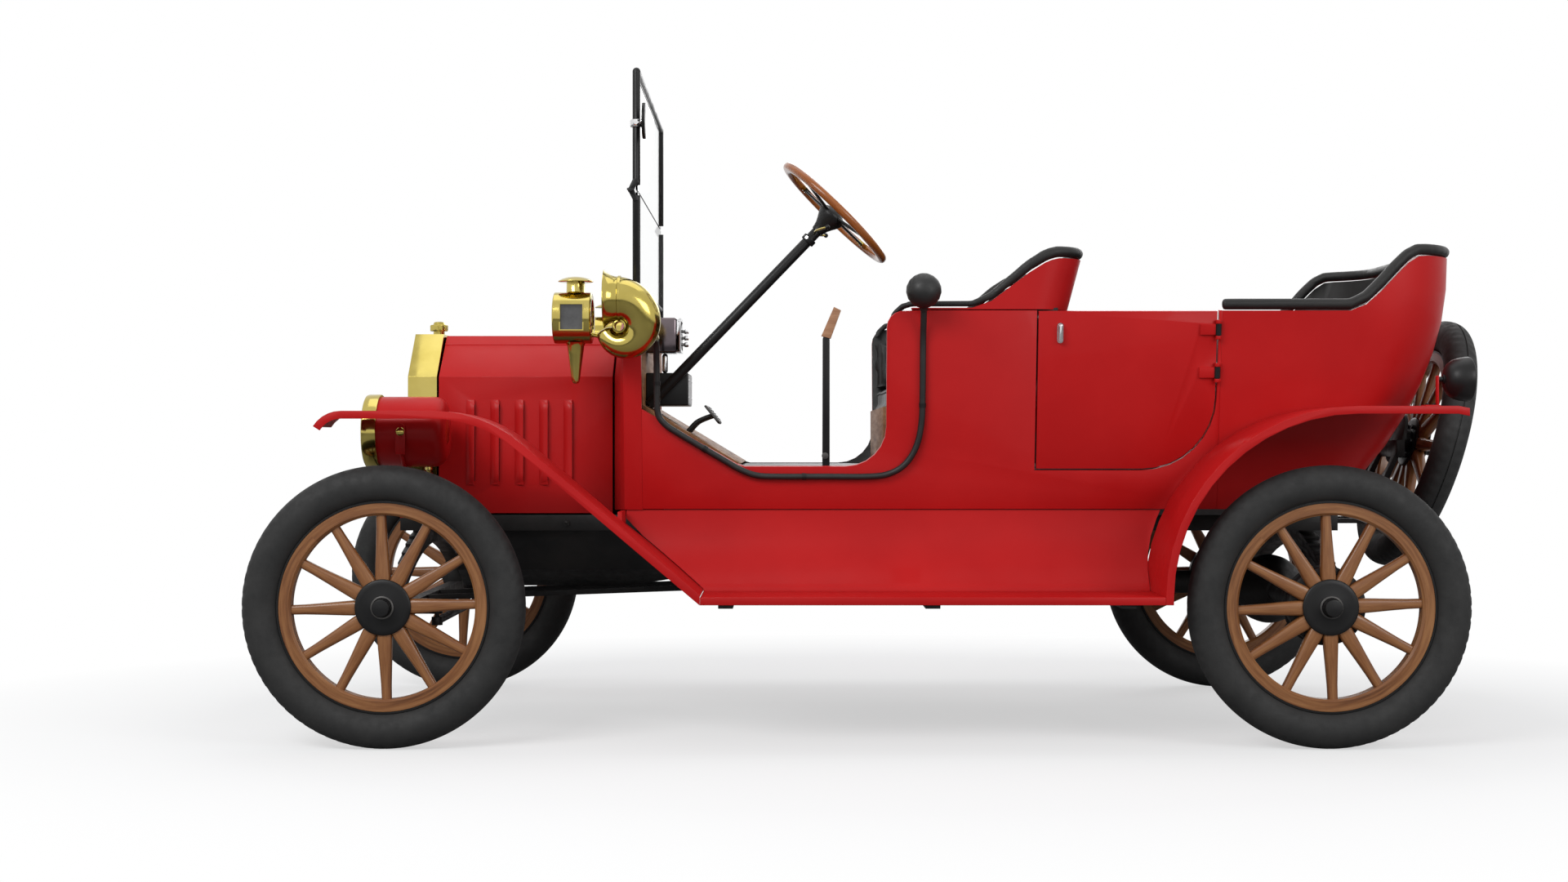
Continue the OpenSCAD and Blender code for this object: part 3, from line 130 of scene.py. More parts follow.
def mottled(name, dark, light, scale, rough_low, rough_high, metallic=0.0, bump_scale=None, bump_mm=0.2,
        coat=0.0, strength=0.3, specular=0.5):
    """A finish whose colour and gloss wander a little over the surface."""
    mat, tree, shader = nodes_of(name)
    tint = noise_node(tree, scale, 4.0, 0.55)
    link(tree, ramp(tree, tint.outputs["Fac"], [(0.3, dark), (0.7, light)]).outputs["Color"],
        shader.inputs["Base Color"])
    gloss = noise_node(tree, scale * 3.1, 3.0, 0.6)
    link(tree, ramp(tree, gloss.outputs["Fac"], [(0.3, grey(rough_low)),
        (0.7, grey(rough_high))]).outputs["Color"], shader.inputs["Roughness"])
    put(shader, {"Metallic": metallic, "Specular IOR Level": specular})
    if coat:
        put(shader, {"Coat Weight": coat, "Coat Roughness": 0.06})
    if bump_scale:
        fine = noise_node(tree, bump_scale, 4.0, 0.6)
        bump(tree, shader, fine.outputs["Fac"], strength, bump_mm * MM)
    return mat


RED = mottled("red_enamel", (0.42, 0.0070, 0.0080), (0.49, 0.0105, 0.0110), 3.0, 0.34, 0.46,
    bump_scale=9.0, bump_mm=0.4, strength=0.08, specular=0.14, coat=0.04)
BLACK = mottled("black_enamel", (0.006, 0.006, 0.0065), (0.011, 0.0105, 0.0105), 6.0, 0.28, 0.44,
    bump_scale=60.0, bump_mm=0.2, strength=0.15, specular=0.25)
CHASSIS = mottled("chassis_black", (0.008, 0.008, 0.0085), (0.020, 0.018, 0.017), 9.0, 0.42, 0.65,
    bump_scale=180.0, bump_mm=0.3, specular=0.25)
IRON = mottled("dark_steel", (0.045, 0.043, 0.042), (0.11, 0.105, 0.10), 12.0, 0.38, 0.6, metallic=0.7,
    bump_scale=220.0, bump_mm=0.25)
BRASS = mottled("polished_brass", (0.44, 0.350, 0.082), (0.56, 0.455, 0.135), 7.0, 0.10, 0.20,
    metallic=1.0, bump_scale=40.0, bump_mm=0.15, strength=0.15)
CHROME = mottled("chrome", (0.62, 0.62, 0.63), (0.78, 0.78, 0.79), 14.0, 0.10, 0.22, metallic=1.0)
ALUMINIUM = mottled("floor_metal", (0.11, 0.11, 0.113), (0.17, 0.17, 0.173), 10.0, 0.40, 0.56,
    metallic=0.6, bump_scale=90.0, bump_mm=0.3)
RUBBER = mottled("tyre_rubber", (0.019, 0.019, 0.019), (0.029, 0.0285, 0.028), 14.0, 0.60, 0.78,
    bump_scale=420.0, bump_mm=0.35, specular=0.3)
SOFT_RUBBER = mottled("black_rubber", (0.008, 0.008, 0.008), (0.014, 0.014, 0.0135), 25.0, 0.42, 0.6,
    bump_scale=300.0, bump_mm=0.2, specular=0.4)
LENS = mottled("lamp_red", (0.25, 0.004, 0.004), (0.36, 0.008, 0.008), 30.0, 0.08, 0.14, coat=0.8)


def leather_material():
    """Black leather with a fine cell grain."""
    mat, tree, shader = nodes_of("seat_leather")
    tint = noise_node(tree, 6.0, 4.0, 0.6)
    link(tree, ramp(tree, tint.outputs["Fac"], [(0.3, (0.008, 0.008, 0.008)),
        (0.75, (0.018, 0.017, 0.016))]).outputs["Color"], shader.inputs["Base Color"])
    pos = tree.nodes.new("ShaderNodeTexCoord")
    cells = tree.nodes.new("ShaderNodeTexVoronoi")
    cells.feature = "DISTANCE_TO_EDGE"
    cells.inputs["Scale"].default_value = 330.0
    link(tree, pos.outputs["Object"], cells.inputs["Vector"])
    grain = ramp(tree, cells.outputs["Distance"], [(0.0, grey(0.0)), (0.22, grey(1.0))])
    bump(tree, shader, grain.outputs["Color"], 0.45, 0.35 * MM)
    gloss = noise_node(tree, 12.0, 3.0, 0.5)
    link(tree, ramp(tree, gloss.outputs["Fac"], [(0.3, grey(0.34)), (0.7, grey(0.52))]).outputs["Color"],
        shader.inputs["Roughness"])
    shader.inputs["Specular IOR Level"].default_value = 0.3
    return mat


def wood_material(name, dark, mid, light, coord="UV", stretch=(1.0, 14.0, 1.0), scale=9.0,
        gloss=(0.26, 0.4), coat=0.2):
    """Varnished wood whose grain runs along the first texture axis."""
    mat, tree, shader = nodes_of(name)
    grain = noise_node(tree, scale, 6.0, 0.62, stretch, coord)
    broad = noise_node(tree, scale * 0.35, 2.0, 0.5, stretch, coord)
    half = reckon(tree, "MULTIPLY", broad.outputs["Fac"], 0.45)
    mix = reckon(tree, "MULTIPLY_ADD", grain.outputs["Fac"], 0.55, half)
    link(tree, ramp(tree, mix, [(0.30, dark), (0.47, mid), (0.64, light)]).outputs["Color"],
        shader.inputs["Base Color"])
    link(tree, ramp(tree, grain.outputs["Fac"], [(0.3, grey(gloss[1])),
        (0.7, grey(gloss[0]))]).outputs["Color"], shader.inputs["Roughness"])
    bump(tree, shader, grain.outputs["Fac"], 0.25, 0.3 * MM)
    put(shader, {"Coat Weight": coat, "Specular IOR Level": 0.3, "Coat Roughness": 0.18})
    return mat


def glass_material():
    """Clear glass that bends light very little, as thin panes do."""
    mat, tree, shader = nodes_of("clear_glass")
    put(shader, {"Base Color": (0.985, 0.995, 0.99, 1.0), "Transmission Weight": 1.0, "IOR": 1.05,
        "Specular IOR Level": 0.3})
    smear = noise_node(tree, 4.0, 3.0, 0.6)
    link(tree, ramp(tree, smear.outputs["Fac"], [(0.3, grey(0.0)), (0.8, grey(0.012))]).outputs["Color"],
        shader.inputs["Roughness"])
    return mat


LEATHER = leather_material()
WOOD = wood_material("spoke_wood", (0.085, 0.028, 0.010), (0.215, 0.083, 0.028), (0.330, 0.150, 0.056))
STEER_WOOD = wood_material("steering_rim_wood", (0.14, 0.032, 0.006), (0.29, 0.082, 0.016),
    (0.40, 0.135, 0.030), gloss=(0.14, 0.24))
GRIP_WOOD = wood_material("grip_wood", (0.22, 0.095, 0.045), (0.38, 0.19, 0.10), (0.50, 0.28, 0.16))
PANEL_WOOD = wood_material("panel_wood", (0.09, 0.035, 0.014), (0.20, 0.085, 0.033), (0.30, 0.145, 0.06),
    coord="Object", stretch=(12.0, 1.0, 12.0), scale=5.0, gloss=(0.5, 0.65), coat=0.0)
GLASS = glass_material()

# Mesh tools


def unit(v):
    return Vector(v).normalized()


def squared(value, power):
    """A sine or cosine raised to a power with its sign kept; a low power gives a squarer section."""
    return math.copysign(abs(value) ** power, value)


def stand(name, data):
    """A new object in the scene."""
    obj = bpy.data.objects.new(name, data)
    bpy.context.scene.collection.objects.link(obj)
    return obj


class Piece:
    """Collects parts of one named piece, in metres in the row frame, with one material per part."""

    def __init__(self, name):
        self.name = name
        self.points, self.faces, self.slots, self.uvs, self.mats = [], [], [], [], []

    def add(self, points, faces, mat, uvs=None):
        if mat not in self.mats:
            self.mats.append(mat)
        index = self.mats.index(mat)
        base = len(self.points)
        self.points += [Vector(p) for p in points]
        for k, face in enumerate(faces):
            self.faces.append([base + i for i in face])
            self.slots.append(index)
            self.uvs.append(uvs[k] if uvs else None)

    def grid(self, rows, mat, closed_u=False, closed_v=False, cap=(False, False), scale_uv=1.0):
        """A skin over rows of points. closed_v joins each row's ends, closed_u the last row to the first."""
        n, m = len(rows), len(rows[0])
        points = [Vector(p) for row in rows for p in row]
        along = [0.0]
        for i in range(1, n + (1 if closed_u else 0)):
            along.append(along[-1] + (Vector(rows[i % n][0]) - Vector(rows[i - 1][0])).length)
        round_ = [0.0]
        for j in range(1, m + (1 if closed_v else 0)):
            round_.append(round_[-1] + (Vector(rows[0][j % m]) - Vector(rows[0][j - 1])).length)
        faces, uvs = [], []
        for i in range(n if closed_u else n - 1):
            for j in range(m if closed_v else m - 1):
                faces.append([i * m + j, i * m + (j + 1) % m, ((i + 1) % n) * m + (j + 1) % m,
                    ((i + 1) % n) * m + j])
                uvs.append([(along[i] * scale_uv, round_[j] * scale_uv),
                    (along[i] * scale_uv, round_[j + 1] * scale_uv),
                    (along[i + 1] * scale_uv, round_[j + 1] * scale_uv),
                    (along[i + 1] * scale_uv, round_[j] * scale_uv)])
        for end, wanted in zip((0, n - 1), cap):
            if wanted:
                faces.append([end * m + j for j in range(m)])
                uvs.append([(p.x + p.y, p.z) for p in points[end * m:end * m + m]])
        self.add(points, faces, mat, uvs)

    def tube(self, path, radius, mat, sides=16, closed=False, caps=True):
        """A round tube along path; radius is one value or one for each point."""
        path = [Vector(p) for p in path]
        n = len(path)
        radii = radius if hasattr(radius, "__len__") else [radius] * n
        tangents = []
        for i in range(n):
            a = path[(i - 1) % n] if closed or i > 0 else path[i]
            b = path[(i + 1) % n] if closed or i < n - 1 else path[i]
            tangents.append((b - a).normalized())
        side = tangents[0].orthogonal().normalized()
        rows = []
        for i in range(n):
            if i:
                side = (side - tangents[i] * side.dot(tangents[i])).normalized()
            other = tangents[i].cross(side)
            rows.append([path[i] + radii[i] * (math.cos(t) * side + math.sin(t) * other)
                for t in [2 * math.pi * k / sides for k in range(sides)]])
        self.grid(rows, mat, closed_u=closed, closed_v=True, cap=(caps and not closed, caps and not closed))

    def lathe(self, profile, at, axis, mat, segments=48, closed=False):
        """profile is (distance along the axis, radius); a radius of 0 closes an end."""
        axis = unit(axis)
        side = axis.orthogonal().normalized()
        other = axis.cross(side)
        at = Vector(at)
        rows = []
        for t in [2 * math.pi * k / segments for k in range(segments)]:
            direction = math.cos(t) * side + math.sin(t) * other
            rows.append([at + axis * a + direction * r for a, r in profile])
        self.grid(rows, mat, closed_u=True, closed_v=closed)

    def prism(self, outline, direction, mat):
        """A flat outline of points pushed along a direction."""
        n = len(outline)
        direction = Vector(direction)
        points = [Vector(p) for p in outline] + [Vector(p) + direction for p in outline]
        faces = [list(range(n)), list(range(2 * n - 1, n - 1, -1))]
        faces += [[i, (i + 1) % n, n + (i + 1) % n, n + i] for i in range(n)]
        self.add(points, faces, mat)

    def box(self, low, high, mat):
        x0, y0, z0 = low
        x1, y1, z1 = high
        self.prism([(x0, y0, z0), (x1, y0, z0), (x1, y1, z0), (x0, y1, z0)], (0, 0, z1 - z0), mat)

    def box_along(self, at, u, v, w, half, mat):
        """A box round at, with half sizes along its own directions u, v and w."""
        a, b, c = u * half[0], v * half[1], w * half[2]
        self.prism([at - a - b - c, at + a - b - c, at + a + b - c, at - a + b - c], 2 * c, mat)

    def hexagon(self, at, axis, width, height, mat, dome=False):
        """A bolt head or nut, width across its corners."""
        axis = unit(axis)
        side = axis.orthogonal().normalized()
        other = axis.cross(side)
        at = Vector(at)
        rim = [at + (math.cos(k * math.pi / 3) * side + math.sin(k * math.pi / 3) * other) * width / 2
            for k in range(6)]
        self.prism(rim, axis * height, mat)
        if dome:
            r = width * 0.28
            self.lathe([(height, 0.0001), (height, r), (height * 1.5, r * 0.92), (height * 1.75, r * 0.5),
                (height * 1.8, 0.0001)], at, axis, mat, 10)

    def dome(self, at, axis, radius, height, mat, segments=20):
        steps = [math.pi / 2 * k / 5 for k in range(6)]
        self.lathe([(-0.0004, 0.0001), (-0.0004, radius)] + [(height * math.sin(t),
            max(radius * math.cos(t), 0.0001)) for t in steps], at, axis, mat, segments)

    def done(self, body, replaced=(), bevel=0.0, smooth=38.0, segments=2, subdivide=0):
        mesh = bpy.data.meshes.new(self.name)
        mesh.from_pydata(self.points, [], self.faces)
        for mat in self.mats:
            mesh.materials.append(mat)
        layer = mesh.uv_layers.new(name="UVMap")
        for polygon, index, uvs in zip(mesh.polygons, self.slots, self.uvs):
            polygon.material_index = index
            for k, loop in enumerate(polygon.loop_indices):
                if uvs:
                    layer.data[loop].uv = uvs[k]
                else:
                    p = mesh.vertices[mesh.loops[loop].vertex_index].co
                    layer.data[loop].uv = (p.x, p.z + p.y)
        obj = stand(self.name, mesh)
        tidy(obj, bevel, smooth, segments, subdivide)
        return fix(obj, body, replaced)


def tidy(obj, bevel=0.0, smooth=38.0, segments=2, subdivide=0, dissolve=False):
    """Merges doubles, turns faces outwards, rounds the edges and shades them."""
    mesh = obj.data
    bm = bmesh.new()
    bm.from_mesh(mesh)
    bmesh.ops.remove_doubles(bm, verts=bm.verts, dist=2e-6 if not dissolve else 2e-5)
    bmesh.ops.dissolve_degenerate(bm, edges=bm.edges, dist=1e-6)
    if dissolve:
        bmesh.ops.dissolve_limit(bm, angle_limit=math.radians(1.2), verts=bm.verts, edges=bm.edges,
            delimit={"MATERIAL"})
    bmesh.ops.recalc_face_normals(bm, faces=bm.faces)
    bm.to_mesh(mesh)
    bm.free()
    if bevel:
        mod = obj.modifiers.new("round", "BEVEL")
        mod.width = bevel
        mod.segments = segments
        mod.limit_method = "ANGLE"
        mod.angle_limit = math.radians(32)
        mod.use_clamp_overlap = True
        mod.harden_normals = False
    if subdivide:
        mod = obj.modifiers.new("smooth", "SUBSURF")
        mod.levels = mod.render_levels = subdivide
    if obj.modifiers:
        depsgraph = bpy.context.evaluated_depsgraph_get()
        new = bpy.data.meshes.new_from_object(obj.evaluated_get(depsgraph))
        obj.modifiers.clear()
        obj.data = new
        bpy.data.meshes.remove(mesh)
        new.name = obj.name
    shade(obj, smooth)


def shade(obj, angle=38.0):
    mesh = obj.data
    for polygon in mesh.polygons:
        polygon.use_smooth = True
    mesh.set_sharp_from_angle(angle=math.radians(angle))


def fix(obj, body, replaced=()):
    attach(obj, body)
    if replaced:
        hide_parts(*([replaced] if isinstance(replaced, str) else replaced))
    return obj


def body_of_node(node):
    for body, members in frame["record"]["behaviour"]["bodies"].items():
        if node in members:
            return body
    return "car"


def dressed(node, mat, bevel=0.0012, smooth=38.0, name=None, choose=None, segments=2):
    """A node's own shape with its edges rounded, as a new piece that stands for the node."""
    obj = stand(name or node + "_finished", NODES[node].data.copy())
    obj.data.materials.clear()
    for m in (mat if isinstance(mat, list) else [mat]):
        obj.data.materials.append(m)
    for polygon in obj.data.polygons:
        polygon.material_index = choose(polygon.center, polygon.normal) if choose else 0
    tidy(obj, bevel, smooth, segments, dissolve=True)
    return fix(obj, body_of_node(node), node)

# The body's leaning sides: half width and height at the belt, and their lean

BELT_HALF, BELT_Z, LEAN = 0.518, 1.190, math.radians(8.2)


def side_w(z):
    """Half width of the body at height z."""
    return BELT_HALF - (BELT_Z - min(z, BELT_Z)) * math.tan(LEAN)

# Wheels and tyres

FRONT_X, REAR_X, WHEEL_Y, TYRE_R = 1.370, -1.170, 0.711, 0.381
RIM_R, FELLOE_R = 0.283, 0.247
FELLOE_HALF, HUB_FACE, TREAD_HALF = 0.022, 0.023, 0.046
SPOKES, HUB_BOLTS, TREAD_STEPS = 12, 6, 288
SPARE_LEAN = math.radians(15.5)


def standing(x, side):
    """Wheel frame: local y is the axle, outwards."""
    place = Matrix.Translation((x, side * WHEEL_Y, TYRE_R))
    return place if side > 0 else place @ Matrix.Rotation(math.pi, 4, "Z")


def leaning():
    """Wheel frame of the spare wheel, which leans on the back."""
    low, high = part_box("spare_tyre")
    centre = (low + high) / 2
    return (Matrix.Translation(centre) @ Matrix.Rotation(-SPARE_LEAN, 4,
        "Y") @ Matrix.Rotation(math.pi / 2, 4, "Z"))


def moved(piece, matrix):
    piece.points = [matrix @ p for p in piece.points]
    return piece


def wheel(name, matrix, body, node, drum, turn):
    """A wooden felloe in a steel band, spokes, hub and bolts, and a brake drum where drum is set."""
    piece = Piece(name)
    y = Vector((0, 1, 0))
    half = FELLOE_HALF
    ring = [(-half + 0.004, RIM_R), (-half, RIM_R - 0.004), (-half, FELLOE_R + 0.006),
        (-half + 0.006, FELLOE_R), (half - 0.006, FELLOE_R), (half, FELLOE_R + 0.006),
        (half, RIM_R - 0.004), (half - 0.004, RIM_R)]
    piece.lathe(ring, (0, 0, 0), y, WOOD, 120, closed=True)
    piece.lathe([(-half - 0.001, RIM_R + 0.0015), (-half - 0.001, RIM_R - 0.003),
        (-half + 0.002, RIM_R - 0.001), (half - 0.002, RIM_R - 0.001), (half + 0.001, RIM_R - 0.003),
        (half + 0.001, RIM_R + 0.0015)], (0, 0, 0), y, BLACK, 120, closed=True)
    stations = [(0.066, 0.0185, 0.017), (0.080, 0.0205, 0.017), (0.110, 0.0190, 0.0165),
        (0.160, 0.0160, 0.0150), (0.210, 0.0135, 0.0135), (0.240, 0.0130, 0.0130),
        (0.252, 0.0130, 0.0130)]
    for k in range(SPOKES):
        a = 2 * math.pi * k / SPOKES + math.radians(turn)
        out, across = Vector((math.sin(a), 0, math.cos(a))), Vector((math.cos(a), 0, -math.sin(a)))
        rows = []
        for r, w, t in stations:
            row = []
            for j in range(16):
                b = 2 * math.pi * (j + 0.5) / 16
                row.append(out * r + across * (w * squared(math.cos(b), 0.55))
                    + y * (t * squared(math.sin(b), 0.55)))
            rows.append(row)
        piece.grid(rows, WOOD, closed_v=True)
    face = HUB_FACE
    for side in (1, -1):
        piece.lathe([(0.014, 0.070), (0.017, 0.0745), (0.0195, 0.0755), (face - 0.0015, 0.0745),
            (face, 0.0715), (face + 0.0012, 0.062), (face + 0.0012, 0.034), (face + 0.002, 0.031),
            (face + 0.002, 0.0001)], (0, 0, 0), y * side, BLACK, 72)
    for k in range(HUB_BOLTS):
        a = 2 * math.pi * (k + 0.5) / HUB_BOLTS
        at = Vector((math.sin(a) * 0.052, -(face + 0.001), math.cos(a) * 0.052))
        piece.hexagon(at, -y, 0.015, 0.007, BLACK)
    piece.lathe([(0.024, 0.031), (0.030, 0.031), (0.0315, 0.029), (0.0315, 0.0265)], (0, 0, 0), y, IRON, 48)
    piece.lathe([(0.024, 0.0255), (0.048, 0.0245), (0.0535, 0.0225), (0.0545, 0.019), (0.0550, 0.0001)],
        (0, 0, 0), y, BLACK, 48)
    piece.lathe([(-0.024, 0.034), (-0.049, 0.0335), (-0.051, 0.031), (-0.051, 0.016)], (0, 0, 0), y,
        BLACK, 40)
    if drum:
        piece.lathe([(-0.018, 0.060), (-0.018, 0.1025), (-0.020, 0.105), (-0.0525, 0.105),
            (-0.0535, 0.1035), (-0.0535, 0.100), (-0.024, 0.100), (-0.022, 0.098), (-0.022, 0.036)],
            (0, 0, 0), y, CHASSIS, 72)
    moved(piece, matrix)
    return piece.done(body, node, smooth=42)


def tyre(name, matrix, body, node):
    """A fat round tyre with a centre groove, ribs across the crown and small notches at its shoulders."""
    piece = Piece(name)
    mid, half_h = (TYRE_R + RIM_R) / 2, (TYRE_R - RIM_R) / 2
    base = []
    for a in range(-66, 247, 6):
        s, c = math.sin(math.radians(a)), math.cos(math.radians(a))
        shoulder = 1.0 + 0.045 * math.sin(math.radians(2 * a)) ** 2
        base.append((a, min(mid + half_h * s * shoulder, TYRE_R), TREAD_HALF * c))
    profile = []
    for a, r, w in base:
        if a == 90:
            profile += [(84.9, TYRE_R - 0.0001, 0.0030, 0), (85.5, TYRE_R - 0.0035, 0.0022, 1),
                (90, TYRE_R - 0.0035, 0.0, 1), (94.5, TYRE_R - 0.0035, -0.0022, 1),
                (95.1, TYRE_R - 0.0001, -0.0030, 0)]
        else:
            profile.append((a, r, w, 0))
    profile.sort(key=lambda p: p[0])
    rows = []
    for k in range(TREAD_STEPS):
        a = 2 * math.pi * k / TREAD_STEPS
        step = k % 4
        row = []
        for deg, r, w, sunk in profile:
            depth = 0.0
            lean = abs(deg - 90)
            if not sunk and 8 < lean < 44 and step == 0:
                depth = 0.0022 * min(1.0, (lean - 6) / 14)
            if 44 <= lean < 58 and k % 8 == 2:
                depth = 0.0020
            row.append((math.sin(a) * (r - depth), w, math.cos(a) * (r - depth)))
        rows.append(row)
    piece.grid(rows, RUBBER, closed_u=True)
    foot = 0.0205
    piece.lathe([(0.0185, RIM_R + 0.0045), (foot, RIM_R + 0.001), (-foot, RIM_R + 0.001),
        (-0.0185, RIM_R + 0.0045)], (0, 0, 0), (0, 1, 0), RUBBER, 96)
    moved(piece, matrix)
    return piece.done(body, node, smooth=30)


TURN = {"front": 1.8, "rear": 2.2}
for end, x in (("front", FRONT_X), ("rear", REAR_X)):
    for word, side in (("left", 1), ("right", -1)):
        body = f"{end}_{word}_wheel"
        wheel(f"spoked_wheel_{end}_{word}", standing(x, side), body, f"wheel_{end}_{word}", end == "rear",
            TURN[end])
        tyre(f"treaded_tyre_{end}_{word}", standing(x, side), body, f"tyre_{end}_{word}")
wheel("spoked_wheel_spare", leaning(), "car", "spare_wheel", False, 2.0)
tyre("treaded_tyre_spare", leaning(), "car", "spare_tyre")

# Sheet metal and frame

for node in ["front_mudguards", "rear_mudguards", "running_boards", "bonnet_top_left", "bonnet_top_right",
        "cowl"]:
    dressed(node, RED, bevel=0.0014)
dressed("aprons", RED, bevel=0.0, smooth=50)
for node in ["chassis_frame", "board_brackets", "engine", "front_axle", "springs", "knuckle_left",
        "knuckle_right", "tie_rod", "rear_axle", "spare_carrier"]:
    dressed(node, CHASSIS, bevel=0.0012)
for node in ["windscreen_lower", "windscreen_upper", "steering_column"]:
    dressed(node, BLACK, bevel=0.0008)
dressed("floor", ALUMINIUM)
for node in ["lower_pane", "upper_pane"]:
    dressed(node, GLASS, bevel=0.0)
dressed("radiator_core", BLACK)


def both(build):
    """Calls build for the left side and for the right one, each with its sign and word."""
    for side, word in ((1, "left"), (-1, "right")):
        build(side, word)


LOUVRES, LOUVRE_X, LOUVRE_STEP, LOUVRE_LOW, LOUVRE_TOP = 5, 0.902, 0.070, 0.701, 0.945
BONNET_HALF = 0.330


def louvred_side(side, word):
    """The bonnet's folding side with its raised louvres, open towards the back; a black sheet of painted
    shade fills each opening.
    """
    node = f"bonnet_side_{word}"
    dressed(node, RED, bevel=0.0010)
    piece = Piece(f"louvres_{word}")
    for k in range(LOUVRES):
        x0, width = LOUVRE_X + k * LOUVRE_STEP, 0.026
        z0, z1 = LOUVRE_LOW, LOUVRE_TOP
        y = side * BONNET_HALF
        rows = []
        for i in range(17):
            t = i / 16
            z = z0 + (z1 - z0) * t
            end = min(t, 1 - t) * (z1 - z0)
            swell = math.sqrt(max(0.0, 1 - max(0.0, 1 - end / 0.016) ** 2))
            row = []
            for j in range(9):
                u = j / 8
                rise = 0.0125 * swell * math.sin(math.pi / 2 * min(1.0, (1 - u) * 1.25)) ** 0.8 + 0.0006
                row.append((x0 + width * u, y + side * rise, z))
            rows.append(row)
        piece.grid(rows, RED)
        # a black sheet in each louvre's open end: painted shade for the dark gap under the louvre
        piece.prism([(x0, y + side * 0.0002, z0 + 0.010), (x0 + 0.002, y + side * 0.0002, z0 + 0.010),
            (x0 + 0.002, y + side * 0.0098, z0 + 0.012), (x0, y + side * 0.0098, z0 + 0.012)],
            (0, 0, z1 - z0 - 0.024), BLACK)
    piece.done(f"bonnet_{word}_side", smooth=50)


both(louvred_side)


def rail_bolts(side, word):
    """Bolt heads along the frame rail."""
    piece = Piece(f"rail_bolts_{word}")
    for x in (-0.60, -0.30, 0.05, 0.35, 0.70, 0.92, 1.14, 1.30):
        piece.hexagon((x, side * 0.3302, 0.593), (0, side, 0), 0.020, 0.008, CHASSIS, dome=True)
    piece.done("car")


both(rail_bolts)

# Radiator

dressed("radiator_shell", BRASS, bevel=0.0045, segments=3)


FIN_COUNT, RADIATOR_TUBES = 58, 25


def radiator_front():
    """Thin fins across the core and upright tubes in front of them, inside the shell's arched opening."""
    piece = Piece("radiator_fins")
    low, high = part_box("radiator_core")
    face = high.x + 0.0004
    half, bottom, shoulder, top, top_half = 0.2945, low.z + 0.004, 0.945, 1.046, 0.19
    for k in range(FIN_COUNT):
        z = bottom + (top - bottom) * (k + 0.5) / FIN_COUNT
        w = half if z < shoulder else half + (top_half - half) * (z - shoulder) / (top - shoulder)
        piece.prism([(face - 0.002, -w, z), (face + 0.007, -w, z), (face + 0.007, w, z),
            (face - 0.002, w, z)], (0, 0, 0.0012), IRON)
    for k in range(RADIATOR_TUBES):
        y = -half + 2 * half * (k + 0.5) / RADIATOR_TUBES
        slope = shoulder + (top - shoulder) * (half - abs(y)) / (half - top_half)
        stop = top if abs(y) < top_half else slope
        piece.tube([(face + 0.003, y, bottom), (face + 0.003, y, stop)], 0.0032, BRASS, 8)
    piece.done("car")


radiator_front()


def radiator_cap():
    """The filler neck with its lobed screw cap."""
    piece = Piece("filler_cap")
    x, z = 1.340, 1.1395
    piece.lathe([(0.0, 0.021), (0.003, 0.0195), (0.003, 0.0170), (0.0225, 0.0170)], (x, 0, z), (0, 0, 1),
        BRASS, 40)
    profile = [(0.021, 0.016), (0.021, 0.0245), (0.0225, 0.026), (0.0365, 0.026), (0.0385, 0.0240),
        (0.0395, 0.018), (0.0405, 0.0175), (0.0465, 0.0150), (0.0485, 0.010), (0.0487, 0.0001)]
    rows = []
    for k in range(96):
        a = 2 * math.pi * k / 96
        lobe = (0.0262 + 0.0010 * math.cos(12 * a)) / 0.026
        reach = [(h, r * lobe if r > 0.02 else r) for h, r in profile]
        rows.append([(x + math.cos(a) * r, math.sin(a) * r, z + h) for h, r in reach])
    piece.grid(rows, BRASS, closed_u=True)
    piece.done("car", smooth=35)


radiator_cap()

# Lamps


